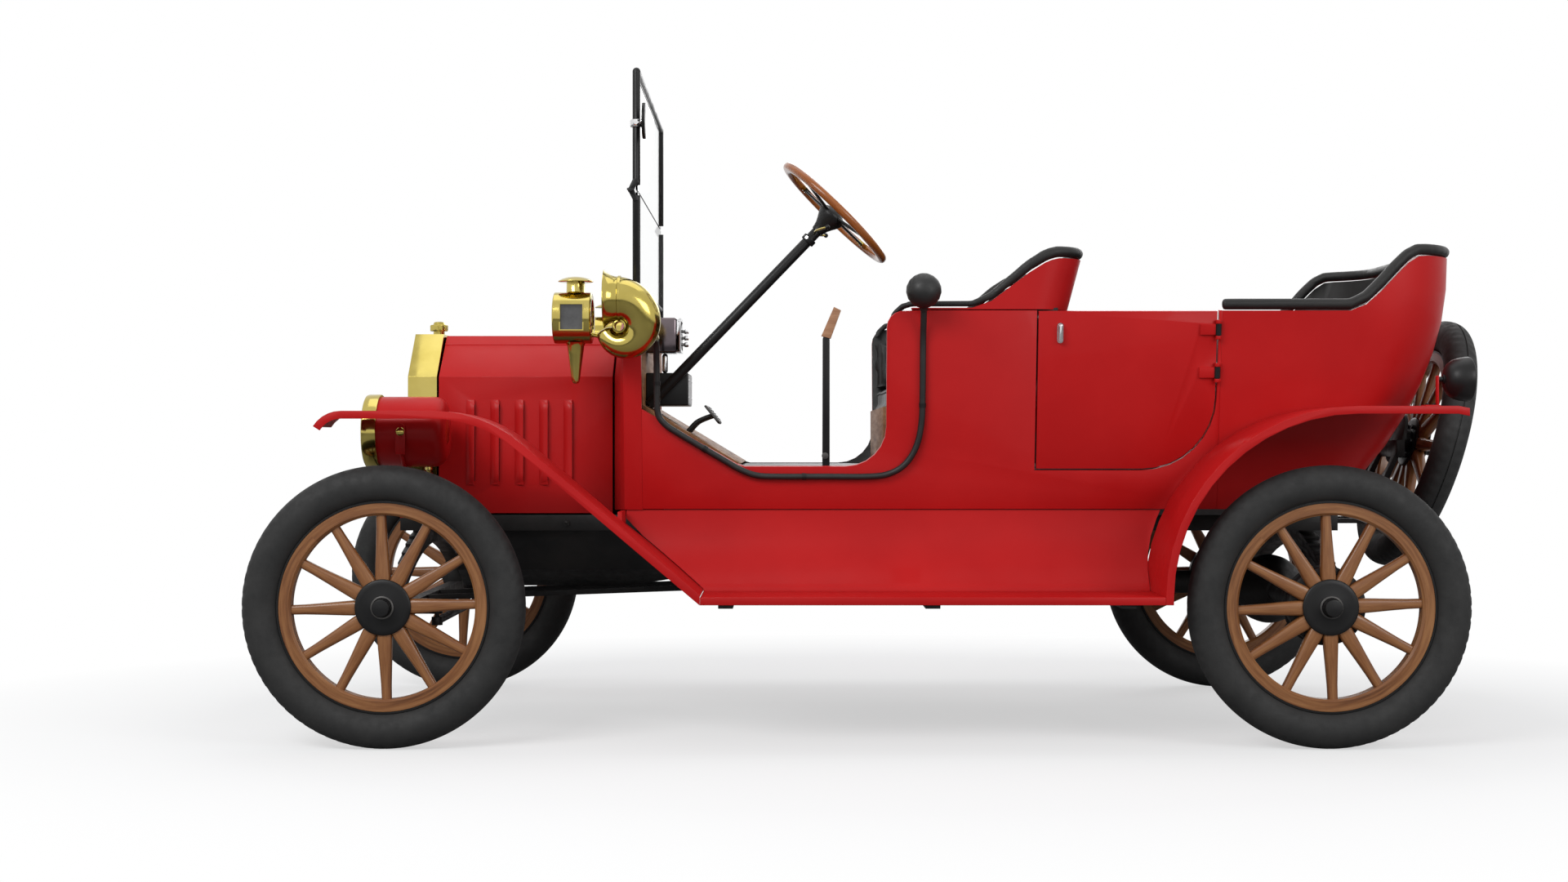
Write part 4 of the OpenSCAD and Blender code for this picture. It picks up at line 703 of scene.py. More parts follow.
def headlamp(side, word):
    """A red drum on its forked post, with a brass rim, reflector, burner and glass."""
    front = 1.463
    at, x = (front, side * 0.470, 0.853), (1, 0, 0)
    piece = Piece(f"headlamp_drum_{word}")
    piece.lathe([(-0.2245, 0.0001), (-0.2245, 0.066), (-0.223, 0.074), (-0.218, 0.084), (-0.210, 0.092),
        (-0.200, 0.0965), (-0.188, 0.0980), (-0.037, 0.0980), (-0.037, 0.094)], at, x, RED, 72)
    post = front - 0.111
    piece.prism([(post - 0.018, side * 0.4675, 0.612), (post + 0.018, side * 0.4675, 0.612),
        (post + 0.012, side * 0.4675, 0.754), (post - 0.012, side * 0.4675, 0.754)], (0, side * 0.012, 0),
        RED)
    piece.tube([(post, side * 0.4735, 0.7500), (post, side * 0.520, 0.760), (post, side * 0.558, 0.793),
        (post, side * 0.5725, 0.837), (post, side * 0.5735, 0.866)], 0.0052, RED, 12)
    outer = side * 0.5695
    strap = [(post - 0.0135, outer, 0.790), (post + 0.0135, outer, 0.790)]
    strap += [(post + 0.0135 * math.cos(a), outer, 0.862 + 0.0135 * math.sin(a))
        for a in [math.pi * k / 8 for k in range(9)]]
    piece.prism(strap, (0, side * 0.0065, 0), RED)
    piece.done("car", bevel=0.0006)
    rim = Piece(f"headlamp_rim_{word}")
    rim.lathe([(-0.041, 0.0975), (-0.041, 0.1030), (-0.039, 0.1045), (-0.009, 0.1045), (-0.0025, 0.1025),
        (0.0, 0.0985), (-0.0005, 0.0925), (-0.004, 0.0885), (-0.010, 0.0870)], at, x, BRASS, 72)
    rim.dome((post, side * 0.5755, 0.853), (0, side, 0), 0.0125, 0.0045, BRASS)
    rim.lathe([(-0.2255, 0.0001), (-0.2255, 0.030), (-0.2245, 0.034), (-0.2235, 0.034)], at, x, BRASS, 40)
    rim.lathe([(-0.018, 0.0870), (-0.048, 0.0800), (-0.078, 0.0620), (-0.096, 0.0350), (-0.100, 0.0001)],
        at, x, CHROME, 56)
    rim.lathe([(-0.096, 0.007), (-0.063, 0.0065), (-0.060, 0.0045), (-0.048, 0.0040), (-0.045, 0.0001)],
        at, x, BRASS, 20)
    rim.tube([(1.291, side * 0.470, 0.757), (1.291, side * 0.470, 0.742), (1.2905, side * 0.466, 0.735),
        (1.290, side * 0.440, 0.7335)], 0.006, BRASS, 14)
    rim.lathe([(0.0, 0.010), (0.007, 0.010), (0.009, 0.0075)], (1.291, side * 0.470, 0.754), (0, 0, -1),
        BRASS, 24)
    rim.done("car", "headlamps" if side > 0 else (), smooth=40)
    lens = Piece(f"headlamp_glass_{word}")
    for back in (0.0, 0.002):
        lens.lathe([(-0.010 - back, 0.0872), (-0.0065 - back, 0.060), (-0.0045 - back, 0.030),
            (-0.004 - back, 0.0001)], at, x, GLASS, 56)
    lens.done("car")


both(headlamp)


def side_lamp(side, word):
    """A brass oil lamp with a square side window, chimney, cap and tail cone."""
    piece = Piece(f"side_lamp_{word}")
    y, z, r = side * 0.560, 1.166, 0.071
    x0, x1 = 0.825, 0.928
    # the drum, with a square window on its outer side
    window = math.radians(29)
    turns, rows = 72, []
    for k in range(turns):
        a = 2 * math.pi * k / turns
        rows.append([(x, y + side * r * math.cos(a), z + r * math.sin(a))
            for x in (x0 + 0.002, x0 + 0.020, x1 - 0.022, x1 - 0.002)])
    n, m = turns, 4
    points = [p for row in rows for p in row]
    faces = []
    for i in range(n):
        mid = 2 * math.pi * (i + 0.5) / turns
        mid = mid if mid < math.pi else mid - 2 * math.pi
        for j in range(3):
            if j == 1 and abs(mid) < window:
                continue
            faces.append([i * m + j, i * m + j + 1, ((i + 1) % n) * m + j + 1, ((i + 1) % n) * m + j])
    piece.add(points, faces, BRASS)
    # turned ends
    for x, sign in ((x0, -1), (x1, 1)):
        piece.lathe([(-0.002, r), (0.0, r - 0.0015), (0.0015, r - 0.006), (0.0015, 0.052),
            (-0.002, 0.050)], (x, y, z), (sign, 0, 0), BRASS, 72)
    # window frame
    h = r * math.sin(window)
    reach = r * math.cos(window)
    wx0, wx1 = x0 + 0.020, x1 - 0.022
    for low, high in (((wx0 - 0.003, z - h - 0.003), (wx1 + 0.003, z - h)),
            ((wx0 - 0.003, z + h), (wx1 + 0.003, z + h + 0.003)), ((wx0 - 0.003, z - h), (wx0, z + h)),
            ((wx1, z - h), (wx1 + 0.003, z + h))):
        inner, outer = y + side * (reach - 0.006), y + side * (r - 0.0015)
        piece.box((low[0], min(inner, outer), low[1]), (high[0], max(inner, outer), high[1]), BRASS)
    # chimney, cap and tail cone
    cx = 0.870
    up = (0, 0, 1)
    piece.lathe([(r - 0.004, 0.031), (r - 0.001, 0.0275), (r + 0.002, 0.0255), (r + 0.031, 0.0250)],
        (cx, y, z), up, BRASS, 48)
    piece.lathe([(r + 0.0285, 0.024), (r + 0.0285, 0.046), (r + 0.0295, 0.0488), (r + 0.0315, 0.0480),
        (r + 0.037, 0.038), (r + 0.0410, 0.024), (r + 0.0430, 0.010), (r + 0.0435, 0.0001)], (cx, y, z),
        up, BRASS, 56)
    piece.lathe([(-r + 0.004, 0.030), (-r - 0.001, 0.0260), (-r - 0.006, 0.0235), (-r - 0.030, 0.0205),
        (-r - 0.090, 0.0125), (-r - 0.102, 0.0105), (-r - 0.107, 0.0080), (-r - 0.1095, 0.004),
        (-r - 0.110, 0.0001)], (cx, y, z), up, BRASS, 40)
    # bracket to the cowl, out of sight behind the lamp
    wall = side * (side_w(1.100) + 0.0003)
    piece.tube([(0.727, wall, 1.100), (0.727, side * 0.517, 1.100), (0.738, side * 0.526, 1.103),
        (0.800, side * 0.536, 1.116), (0.829, side * 0.540, 1.122)], 0.0060, BRASS, 14)
    piece.lathe([(0.0, 0.013), (0.003, 0.013), (0.0045, 0.010), (0.0045, 0.006)], (0.727, wall, 1.100),
        (0, side, 0), BRASS, 24)
    piece.done("car", "side_lamps" if side > 0 else (), smooth=36)
    glass = Piece(f"side_lamp_panes_{word}")
    yy = y + side * (reach - 0.007)
    # an opaque dark pane in the window: painted shade for the dark inside of the lamp
    glass.prism([(wx0, yy, z - h), (wx1, yy, z - h), (wx1, yy, z + h), (wx0, yy, z + h)],
        (0, side * 0.002, 0), SHADE_PANE)
    glass.lathe([(0.0005, 0.0505), (0.003, 0.030), (0.004, 0.0001)], (x1 - 0.003, y, z), (1, 0, 0), GLASS,
        40)
    glass.lathe([(0.0, 0.0505), (-0.002, 0.0001)], (x0 + 0.003, y, z), (-1, 0, 0), LENS, 40)
    glass.done("car")


# opaque dark pane material: painted shade standing for the unlit inside of the side lamp seen through its
# window
SHADE_PANE = mottled("pane_painted_shade", (0.040, 0.040, 0.042), (0.070, 0.070, 0.073), 40.0, 0.06, 0.14, coat=0.5)
both(side_lamp)


def tail_lamp(side, word):
    """A black bowl with a red lens on an angle over the rear mudguard."""
    piece = Piece(f"tail_lamp_{word}")
    y, z = side * 0.640, 0.995
    piece.lathe([(1.500, 0.0001), (1.5005, 0.016), (1.5035, 0.030), (1.512, 0.0435), (1.526, 0.0535),
        (1.545, 0.0590), (1.558, 0.0605), (1.566, 0.0612), (1.5705, 0.0600), (1.572, 0.0570),
        (1.5705, 0.0540)], (0, y, z), (-1, 0, 0), BLACK, 56)
    piece.lathe([(1.5705, 0.0545), (1.5715, 0.030), (1.572, 0.0001)], (0, y, z), (-1, 0, 0), LENS, 48)
    piece.tube([(-1.4855, y, z), (-1.503, y, z)], 0.0075, BLACK, 16)
    piece.lathe([(1.5005, 0.013), (1.4975, 0.013), (1.4975, 0.0075)], (0, y, z), (-1, 0, 0), BLACK, 20)
    piece.box((-1.486, y - 0.008, 0.9203), (-1.481, y + 0.008, z + 0.010), RED)
    piece.box((-1.486, y - 0.020, 0.9203), (-1.446, y + 0.020, 0.9253), RED)
    for dx in (-0.474, -0.456):
        piece.hexagon((-1.0 + dx, y, 0.9253), (0, 0, 1), 0.010, 0.004, BLACK)
    piece.done("car", "tail_lamps" if side > 0 else (), bevel=0.0005, smooth=36)


both(tail_lamp)

# Horn

HORN = Vector((0.744, 0.622, 1.140))
HOLE_R, COIL_R, COIL_END = 0.0135, 0.136, 248


def coil(a):
    """Centre, tube radius and direction of the horn's coil, a degrees behind its bell."""
    outer = COIL_R - 0.000278 * a
    out = Vector((math.cos(math.radians(90 + a)), 0, math.sin(math.radians(90 + a))))
    centre = HORN + out * (outer + HOLE_R) / 2 - Vector((0, 0.022 * a / COIL_END, 0))
    return centre, (outer - HOLE_R) / 2, out


def horn():
    """A coiled horn: a tube that grows as it winds and ends in an open bell towards the front."""
    piece = Piece("snail_horn")
    sides = 40
    rows = []
    for k in range(97):
        centre, r, out = coil(COIL_END * (1 - k / 96))
        rows.append([centre + out * (r * math.cos(b)) + Vector((0, r * math.sin(b), 0))
            for b in [2 * math.pi * j / sides for j in range(sides)]])
    centre, r, out = coil(COIL_END)
    ahead = Vector((-out.z, 0, out.x))
    dome = []
    for t in [90 - 15 * k for k in range(6)]:
        c, s = math.cos(math.radians(t)), math.sin(math.radians(t))
        dome.append([centre + ahead * (r * 0.42 * s) + (p - centre) * max(c, 0.02) for p in rows[0]])
    piece.grid(dome + rows, BRASS, closed_v=True, cap=(True, True))
    bell_at = Vector((HORN.x, HORN.y, coil(0)[0].z))
    bell = [(0.0, 0.0600), (0.001, 0.0608), (0.012, 0.0620), (0.022, 0.0650), (0.032, 0.0705),
        (0.039, 0.0765), (0.0415, 0.0795), (0.0425, 0.0798), (0.0428, 0.0785), (0.0395, 0.0745),
        (0.032, 0.0685), (0.022, 0.0630), (0.010, 0.0590), (-0.015, 0.0570), (-0.030, 0.050),
        (-0.036, 0.030), (-0.038, 0.0001)]
    piece.lathe(bell, bell_at, (1, 0, 0), BRASS, 80)
    piece.lathe([(-0.0035, 0.0622), (-0.0035, 0.0640), (0.0035, 0.0640), (0.0035, 0.0622)], bell_at,
        (1, 0, 0), BRASS, 72)
    for side in (1, -1):
        piece.lathe([(0.018, HOLE_R - 0.0005), (0.0265, HOLE_R - 0.0005), (0.0275, HOLE_R + 0.001),
            (0.0265, HOLE_R + 0.0045), (0.020, HOLE_R + 0.0065)], HORN - Vector((0, 0.008, 0)),
            (0, side, 0), BRASS, 32)
    piece.tube([(0.650, 0.572, 1.112), (0.650, 0.588, 1.112), (0.652, 0.600, 1.114)], 0.0118, BRASS, 24)
    piece.tube([(0.703, 0.561, 1.226), (0.703, 0.582, 1.226)], 0.0070, BRASS, 16)
    piece.lathe([(-0.010, 0.0113), (-0.010, 0.0165), (-0.0085, 0.018), (0.0085, 0.018), (0.010, 0.0165),
        (0.010, 0.0113)], (0.703, 0.549, 1.226), (0, 0, 1), BRASS, 40, closed=True)
    piece.done("car", "horn", smooth=48)


horn()


def spline(points, per=6):
    """A smooth line through the points."""
    points = [Vector(p) for p in points]
    out = []
    for i in range(len(points) - 1):
        p0, p1 = points[max(i - 1, 0)], points[i]
        p2, p3 = points[i + 1], points[min(i + 2, len(points) - 1)]
        for k in range(per):
            t = k / per
            out.append(0.5 * ((2 * p1) + (p2 - p0) * t + (2 * p0 - 5 * p1 + 4 * p2 - p3) * t * t
                + (3 * p1 - p0 - 3 * p2 + p3) * t ** 3))
    out.append(points[-1])
    return out


def by_side(x, z):
    """A point of the hose where it lies along the left side."""
    return (x, side_w(z) + 0.0095, z)


def horn_bulb():
    """The horn's hose along the left side, its clips and the rubber bulb at its end."""
    piece = Piece("horn_hose")
    route = [(0.650, 0.5715, 1.112), (0.650, 0.560, 1.1104), (0.650, 0.543, 1.105), (0.650, 0.528, 1.090),
        (0.650, 0.516, 1.066), by_side(0.650, 1.030), by_side(0.650, 0.960), by_side(0.648, 0.905),
        by_side(0.630, 0.876), by_side(0.590, 0.848), by_side(0.470, 0.777), by_side(0.420, 0.748),
        by_side(0.375, 0.731), by_side(0.320, 0.727), by_side(0.180, 0.727), by_side(0.060, 0.727),
        by_side(0.0, 0.735), by_side(-0.045, 0.762), by_side(-0.076, 0.812), by_side(-0.090, 0.880),
        by_side(-0.092, 0.960), by_side(-0.092, 1.040), by_side(-0.092, 1.110), (-0.092, 0.538, 1.160),
        (-0.091, 0.560, 1.205)]
    line = spline(route, 5)
    piece.tube(line, 0.0088, SOFT_RUBBER, 14)
    up = unit((0.02, 0.35, 1.0))
    at = Vector((-0.090, 0.575, 1.241))
    piece.lathe([(-0.0485, 0.0001), (-0.0475, 0.010), (-0.044, 0.020), (-0.036, 0.0325), (-0.022, 0.0435),
        (-0.004, 0.0488), (0.012, 0.0475), (0.028, 0.040), (0.040, 0.0275), (0.0465, 0.014),
        (0.0485, 0.0001)], at, up, SOFT_RUBBER, 48)
    piece.lathe([(-0.058, 0.0100), (-0.054, 0.0115), (-0.047, 0.0125), (-0.043, 0.0175)], at, up,
        SOFT_RUBBER, 28)
    for x, z in ((0.650, 0.990), (0.53, 0.8124), (0.25, 0.727), (-0.0915, 0.92)):
        c = Vector(by_side(x, z))
        near = min(range(1, len(line) - 1), key=lambda i: (line[i] - c).length)
        along = (line[near + 1] - line[near - 1]).normalized()
        piece.lathe([(-0.006, 0.0086), (-0.006, 0.0100), (0.006, 0.0100), (0.006, 0.0086)], line[near],
            along, BLACK, 24, closed=True)
    piece.done("car", "horn_tube", smooth=50)


horn_bulb()

# Doors


def lean_frame(side):
    """Points on the leaning side: x along the car, z the height, out the distance from its face."""
    def place(x, z, out):
        s = (z - BELT_Z) / math.cos(LEAN)
        y = BELT_HALF + s * math.sin(LEAN) + out * math.cos(LEAN)
        return Vector((x, side * y, BELT_Z + s * math.cos(LEAN) - out * math.sin(LEAN)))
    return place


def door_fittings(side, word):
    """The pill-shaped handle and the pins of the two hinges."""
    place = lean_frame(side)
    piece = Piece(f"door_handle_{word}")
    x, low, high, half_w = -0.474, 1.1085, 1.1475, 0.0095
    rows = []
    for depth, grow in ((0.0, 0.0), (0.0045, 0.0), (0.0065, -0.0012), (0.0065, -0.0030),
            (0.0125, -0.0034), (0.0150, -0.0044), (0.0160, -0.0070)):
        r = half_w + grow
        rows.append([place(x + r * math.cos(a), (high if a < math.pi else low) + r * math.sin(a), depth)
            for a in [math.pi * k / 12 for k in range(13)] + [math.pi * (1.0001 + k / 12)
            for k in range(13)]])
    piece.grid(rows, CHROME, closed_v=True, cap=(False, True))
    piece.done(f"door_{word}", smooth=45)
    hinges = Piece(f"door_hinge_pins_{word}")
    pin_x = -0.9135
    for z in (1.138, 1.019):
        up = (place(0, z + 0.1, 0) - place(0, z, 0)).normalized()
        c = place(pin_x, z, 0.008)
        hinges.tube([c - up * 0.0155, c + up * 0.0155], 0.0082, BLACK, 24)
        for s in (-1, 1):
            hinges.lathe([(0.0155, 0.0060), (0.0195, 0.0060), (0.0215, 0.0040), (0.022, 0.0001)], c,
                up * s, BLACK, 20)
    hinges.done(f"door_{word}")


both(door_fittings)

# Windscreen fittings


def screen_fittings(side, word):
    """The wing nut and plate washers at the folding pivot."""
    piece = Piece(f"screen_pivots_{word}")
    x, y, z = 0.717, side * 0.569, 1.5195
    piece.lathe([(0.0012, 0.0001), (0.0012, 0.0060), (0.0055, 0.0060), (0.0065, 0.0045),
        (0.0065, 0.0001)], (x, y + side * 0.002, z), (0, side, 0), BLACK, 24)
    for s in (-1, 1):
        piece.prism([(x, y + side * 0.006, z - 0.003), (x, y + side * 0.006, z + 0.003),
            (x + s * 0.010, y + side * 0.010, z + 0.004), (x + s * 0.010, y + side * 0.010, z - 0.002)],
            (0, side * 0.0025, 0), BLACK)
    piece.done("car", smooth=40)


both(screen_fittings)


def mirror():
    """A round mirror on an arm clamped to the screen's post."""
    piece = Piece("round_mirror")
    x, y, z = 0.674, 0.600, 1.705
    back = (1, 0, 0)
    piece.lathe([(0.0, 0.0440), (0.001, 0.0480), (0.0035, 0.0500), (0.0065, 0.0490), (0.0085, 0.0420),
        (0.0090, 0.020), (0.0090, 0.0001)], (x, y, z), back, BLACK, 56)
    piece.lathe([(0.0008, 0.0450), (0.0003, 0.030), (0.0001, 0.0001)], (x, y, z), back, CHROME, 56)
    piece.lathe([(-0.010, 0.0113), (-0.010, 0.0160), (-0.008, 0.0175), (0.008, 0.0175), (0.010, 0.0160),
        (0.010, 0.0113)], (0.703, 0.549, z), (0, 0, 1), CHROME, 36, closed=True)
    piece.tube([(0.693, 0.561, z), (0.686, 0.572, z), (0.684, 0.590, z), (0.684, 0.600, z),
        (0.680, 0.600, z)], 0.0052, CHROME, 14)
    piece.lathe([(0.0, 0.008), (0.007, 0.008), (0.009, 0.006), (0.009, 0.0001)], (0.703, 0.566, z),
        (0, 1, 0), CHROME, 20)
    piece.done("screen", smooth=42)


mirror()

# Steering

COLUMN_A = math.radians(46)
STEER = Vector((0.149, 0.315, 1.483))


def steering():
    """The wooden rim with four spokes and the hub, and the collar and small levers on the column."""
    axis = Vector((math.cos(COLUMN_A), 0, -math.sin(COLUMN_A)))    # down the column
    side = Vector((0, 1, 0))
    other = axis.cross(side).normalized()
    rim_r, rim_wide, rim_thick = 0.185, 0.0158, 0.0118
    piece = Piece("steering_rim")
    rows = []
    for k in range(144):
        a = 2 * math.pi * k / 144
        out = math.cos(a) * side + math.sin(a) * other
        row = []
        for j in range(24):
            b = 2 * math.pi * j / 24
            row.append(STEER + out * (rim_r + rim_wide * squared(math.cos(b), 0.8))
                + axis * (rim_thick * squared(math.sin(b), 0.85)))
        rows.append(row)
    piece.grid(rows, STEER_WOOD, closed_u=True, closed_v=True)
    for k in range(4):
        a = math.radians(45 + 90 * k)
        out = math.cos(a) * side + math.sin(a) * other
        across = axis.cross(out)
        rows = []
        for r, w, drop, t in ((0.020, 0.014, 0.008, 0.005), (0.050, 0.0125, 0.008, 0.0045),
                (0.100, 0.0105, 0.005, 0.004), (0.150, 0.0100, 0.002, 0.0035),
                (0.168, 0.0115, 0.000, 0.0035), (0.176, 0.0115, 0.000, 0.0035)):
            c = STEER + out * r + axis * drop
            row = []
            for j in range(12):
                b = 2 * math.pi * (j + 0.5) / 12
                row.append(c + across * (w * squared(math.cos(b), 0.6))
                    + axis * (t * squared(math.sin(b), 0.6)))
            rows.append(row)
        piece.grid(rows, BLACK, closed_v=True, cap=(True, True))
        piece.box_along(STEER + out * 0.1625, out, across, axis, (0.010, 0.0125, 0.0062), BRASS)
        for s in (-1, 1):
            piece.dome(STEER + out * 0.1635 + across * (0.006 * s) + axis * 0.0062, axis, 0.0030, 0.0014,
                CHROME, 14)
            piece.dome(STEER + out * 0.1635 + across * (0.006 * s) - axis * 0.0062, -axis, 0.0030, 0.0014,
                CHROME, 14)
    piece.lathe([(-0.0140, 0.0001), (-0.0140, 0.0140), (-0.0125, 0.0175), (-0.008, 0.022),
        (0.000, 0.0345), (0.006, 0.0400), (0.012, 0.0418), (0.020, 0.0405), (0.030, 0.0355),
        (0.042, 0.0285), (0.054, 0.0225), (0.066, 0.0190), (0.0738, 0.0180), (0.0738, 0.0155)], STEER,
        axis, BLACK, 56)
    piece.lathe([(-0.0175, 0.0001), (-0.0170, 0.008), (-0.0145, 0.0125), (-0.0130, 0.013)], STEER, axis,
        BRASS, 32)
    piece.done("steering", "steering_wheel", smooth=45)
    fittings = Piece("column_fittings")
    fittings.lathe([(0.100, 0.0155), (0.100, 0.0195), (0.102, 0.0205), (0.114, 0.0205), (0.116, 0.0195),
        (0.116, 0.0155)], STEER, axis, BLACK, 40)
    for k in (0.35, 2.5):
        d = math.cos(k) * side + math.sin(k) * other
        fittings.hexagon(STEER + axis * 0.108 + d * 0.0200, d, 0.009, 0.005, CHROME)
    for s in (-1, 1):
        start = STEER + axis * 0.084 + side * (s * 0.0140)
        end = start + side * (s * 0.105) - other * 0.020 - axis * 0.030
        fittings.tube(spline([start, start + side * (s * 0.05) - axis * 0.004,
            start + side * (s * 0.085) - other * 0.010 - axis * 0.018, end], 4), 0.0032, BRASS, 12)
        fittings.dome(end, (end - start).normalized(), 0.0068, 0.0068, BLACK, 16)
        fittings.dome(end, -(end - start).normalized(), 0.0068, 0.0068, BLACK, 16)
    fittings.done("car", smooth=45)


steering()


def controls():
    """The brake lever with its wooden grip, and three ribbed pedals."""
    piece = Piece("brake_lever_and_pedals")
    y0, y1 = 0.372, 0.386
    floor_z = 0.7553
    piece.prism([(0.165, y0, floor_z), (0.186, y0, floor_z), (0.185, y0, 1.118), (0.180, y0, 1.132),
        (0.166, y0, 1.128), (0.165, y0, 1.116)], (0, y1 - y0, 0), BLACK)
    piece.tube([(0.178, 0.367, 0.785), (0.178, 0.391, 0.785)], 0.0095, IRON, 20)
    grip = [(0.1620, y0 - 0.0035, 1.1180), (0.1890, y0 - 0.0035, 1.1255), (0.1530, y0 - 0.0035, 1.2085),
        (0.1325, y0 - 0.0035, 1.1985)]
    piece.prism(grip, (0, y1 - y0 + 0.007, 0), GRIP_WOOD)
    toe_board = 0.763 + (0.572 - 0.418) * (0.930 - 0.763) / (0.695 - 0.418)
    for y in (0.180, 0.250, 0.320):
        arm = spline([(0.572, y, toe_board - 0.002), (0.548, y, 0.880), (0.525, y, 0.892),
            (0.503, y, 0.900)], 5)
        piece.tube(arm, 0.0065, BLACK, 14)
        a, b = Vector((0.481, y, 0.877)), Vector((0.523, y, 0.929))
        normal = (b - a).cross(Vector((0, 1, 0))).normalized()
        if normal.x > 0:
            normal = -normal
        rows = []
        for w, lift in ((0.026, 0.006), (0.031, 0.0035), (0.032, 0.0), (0.031, -0.0025)):
            row = []
            for q in [2 * math.pi * (j + 0.5) / 24 for j in range(24)]:
                c, s = squared(math.cos(q), 0.35), squared(math.sin(q), 0.35)
                row.append(a + (b - a) * (0.5 + 0.5 * (w / 0.032) * c) + Vector((0, w * s, 0))
                    + normal * lift)
            rows.append(row)
        piece.grid(rows, IRON, closed_v=True, cap=(True, True))
        for k in range(5):
            c = a.lerp(b, 0.2 + 0.15 * k) + normal * 0.0062
            piece.tube([c + Vector((0, -0.023, 0)), c + Vector((0, 0.023, 0))], 0.0016, IRON, 8)
    piece.done("car", "controls", bevel=0.0008, smooth=45)


controls()


def dash():
    """The coil box with its switch panel and the black box below it."""
    piece = Piece("switch_box")
    x1 = 0.6937
    piece.box((0.604, 0.190, 1.081), (x1, 0.310, 1.183), DARK_CHROME)
    piece.tube([(0.641, 0.250, 1.0815), (0.641, 0.250, 1.0238)], 0.0085, CHROME, 20)
    piece.done("car", "instrument_box", bevel=0.010, segments=4)
    bezel = Piece("switch_panel")
    for low, high in (((0.192, 1.083), (0.308, 1.091)), ((0.192, 1.173), (0.308, 1.181)),
            ((0.192, 1.091), (0.200, 1.173)), ((0.300, 1.091), (0.308, 1.173))):
        bezel.box((0.592, low[0], low[1]), (0.604, high[0], high[1]), CHROME)
    bezel.box((0.597, 0.198, 1.089), (0.604, 0.302, 1.175), IRON)
    for z, mat in ((1.107, CHROME), (1.126, BRASS), (1.145, CHROME)):
        bezel.lathe([(0.0, 0.0045), (0.012, 0.0045), (0.013, 0.0070), (0.020, 0.0074), (0.0245, 0.0062),
            (0.025, 0.0001)], (0.597, 0.250, z), (-1, 0, 0), CHROME, 24)
        bezel.dome((0.5725, 0.250, z), (-1, 0, 0), 0.0050, 0.0005, mat, 16)
    bezel.done("car", bevel=0.0006, smooth=40)
    box = Piece("coil_box")
    box.box((0.572, 0.060, 0.930), (x1, 0.290, 1.024), BLACK)
    box.done("car", bevel=0.003, segments=3)
    back = Piece("coil_box_face")
    back.box((0.5710, 0.066, 0.936), (0.5722, 0.284, 1.018), STEEL_GREY)
    for y in (0.085, 0.265):
        for z in (0.952, 1.002):
            back.dome((0.5712, y, z), (-1, 0, 0), 0.004, 0.0016, CHROME, 14)
    back.done("car")


DARK_CHROME = mottled("dark_plated_metal", (0.11, 0.090, 0.098), (0.19, 0.155, 0.165), 9.0, 0.08, 0.16,
    metallic=1.0)
STEEL_GREY = mottled("dull_grey_sheet", (0.36, 0.36, 0.365), (0.46, 0.46, 0.465), 12.0, 0.36, 0.5,
    metallic=0.3, bump_scale=90.0)
dash()
dressed("dashboard", PANEL_WOOD, bevel=0.001)

# Seats and linings


def inward(center, normal):
    """1 for a face that looks into the body, 0 for one that looks out."""
    out = Vector((min(center.x + 1.10, 0.0) if center.x < -1.10 else 0.0, center.y, 0.0))
    return 1 if normal.dot(out.normalized()) < -0.35 else 0


def shell_inward(center, normal):
    """The same for the front seat's shell, which curves in behind the seat."""
    out = Vector((min(center.x + 0.42, 0.0), center.y, 0.0))
    return 1 if normal.dot(out.normalized()) < -0.35 else 0


for node in ["side_panels", "door_left", "door_right"]:
    dressed(node, [RED, LEATHER], bevel=0.0014, choose=inward)
dressed("rear_tub", [RED, LEATHER], bevel=0.0, smooth=50, choose=inward)
dressed("front_seat_shell", [RED, LEATHER], bevel=0.0, smooth=50, choose=shell_inward)
dressed("seat_boxes", PANEL_WOOD, bevel=0.0015)


def solid_of(node, keep):
    """The closed solid of a node whose centre passes keep, as a bmesh."""
    bm = bmesh.new()
    bm.from_mesh(NODES[node].data)
    bmesh.ops.remove_doubles(bm, verts=bm.verts, dist=1e-5)
    seen, unwanted = set(), []
    for start in bm.verts:
        if start in seen:
            continue
        island, queue = [], [start]
        seen.add(start)
        while queue:
            vert = queue.pop()
            island.append(vert)
            for edge in vert.link_edges:
                other = edge.other_vert(vert)
                if other not in seen:
                    seen.add(other)
                    queue.append(other)
        if not keep(sum((v.co for v in island), Vector()) / len(island)):
            unwanted += island
    bmesh.ops.delete(bm, geom=unwanted, context="VERTS")
    return bm


def applied(obj):
    """Applies what modifiers obj has."""
    old = obj.data
    new = bpy.data.meshes.new_from_object(obj.evaluated_get(bpy.context.evaluated_depsgraph_get()))
    obj.modifiers.clear()
    obj.data = new
    bpy.data.meshes.remove(old)
    new.name = obj.name


def remeshed(name, bm, voxel, rounds):
    """An object with an even skin of voxel size over the solid bm, smoothed over some rounds."""
    mesh = bpy.data.meshes.new(name)
    bm.to_mesh(mesh)
    bm.free()
    obj = stand(name, mesh)
    skin = obj.modifiers.new("skin", "REMESH")
    skin.mode = "VOXEL"
    skin.voxel_size = voxel
    obj.modifiers.new("soften", "SMOOTH").iterations = rounds
    applied(obj)
    return obj


CLOTH_FRAMES = 20


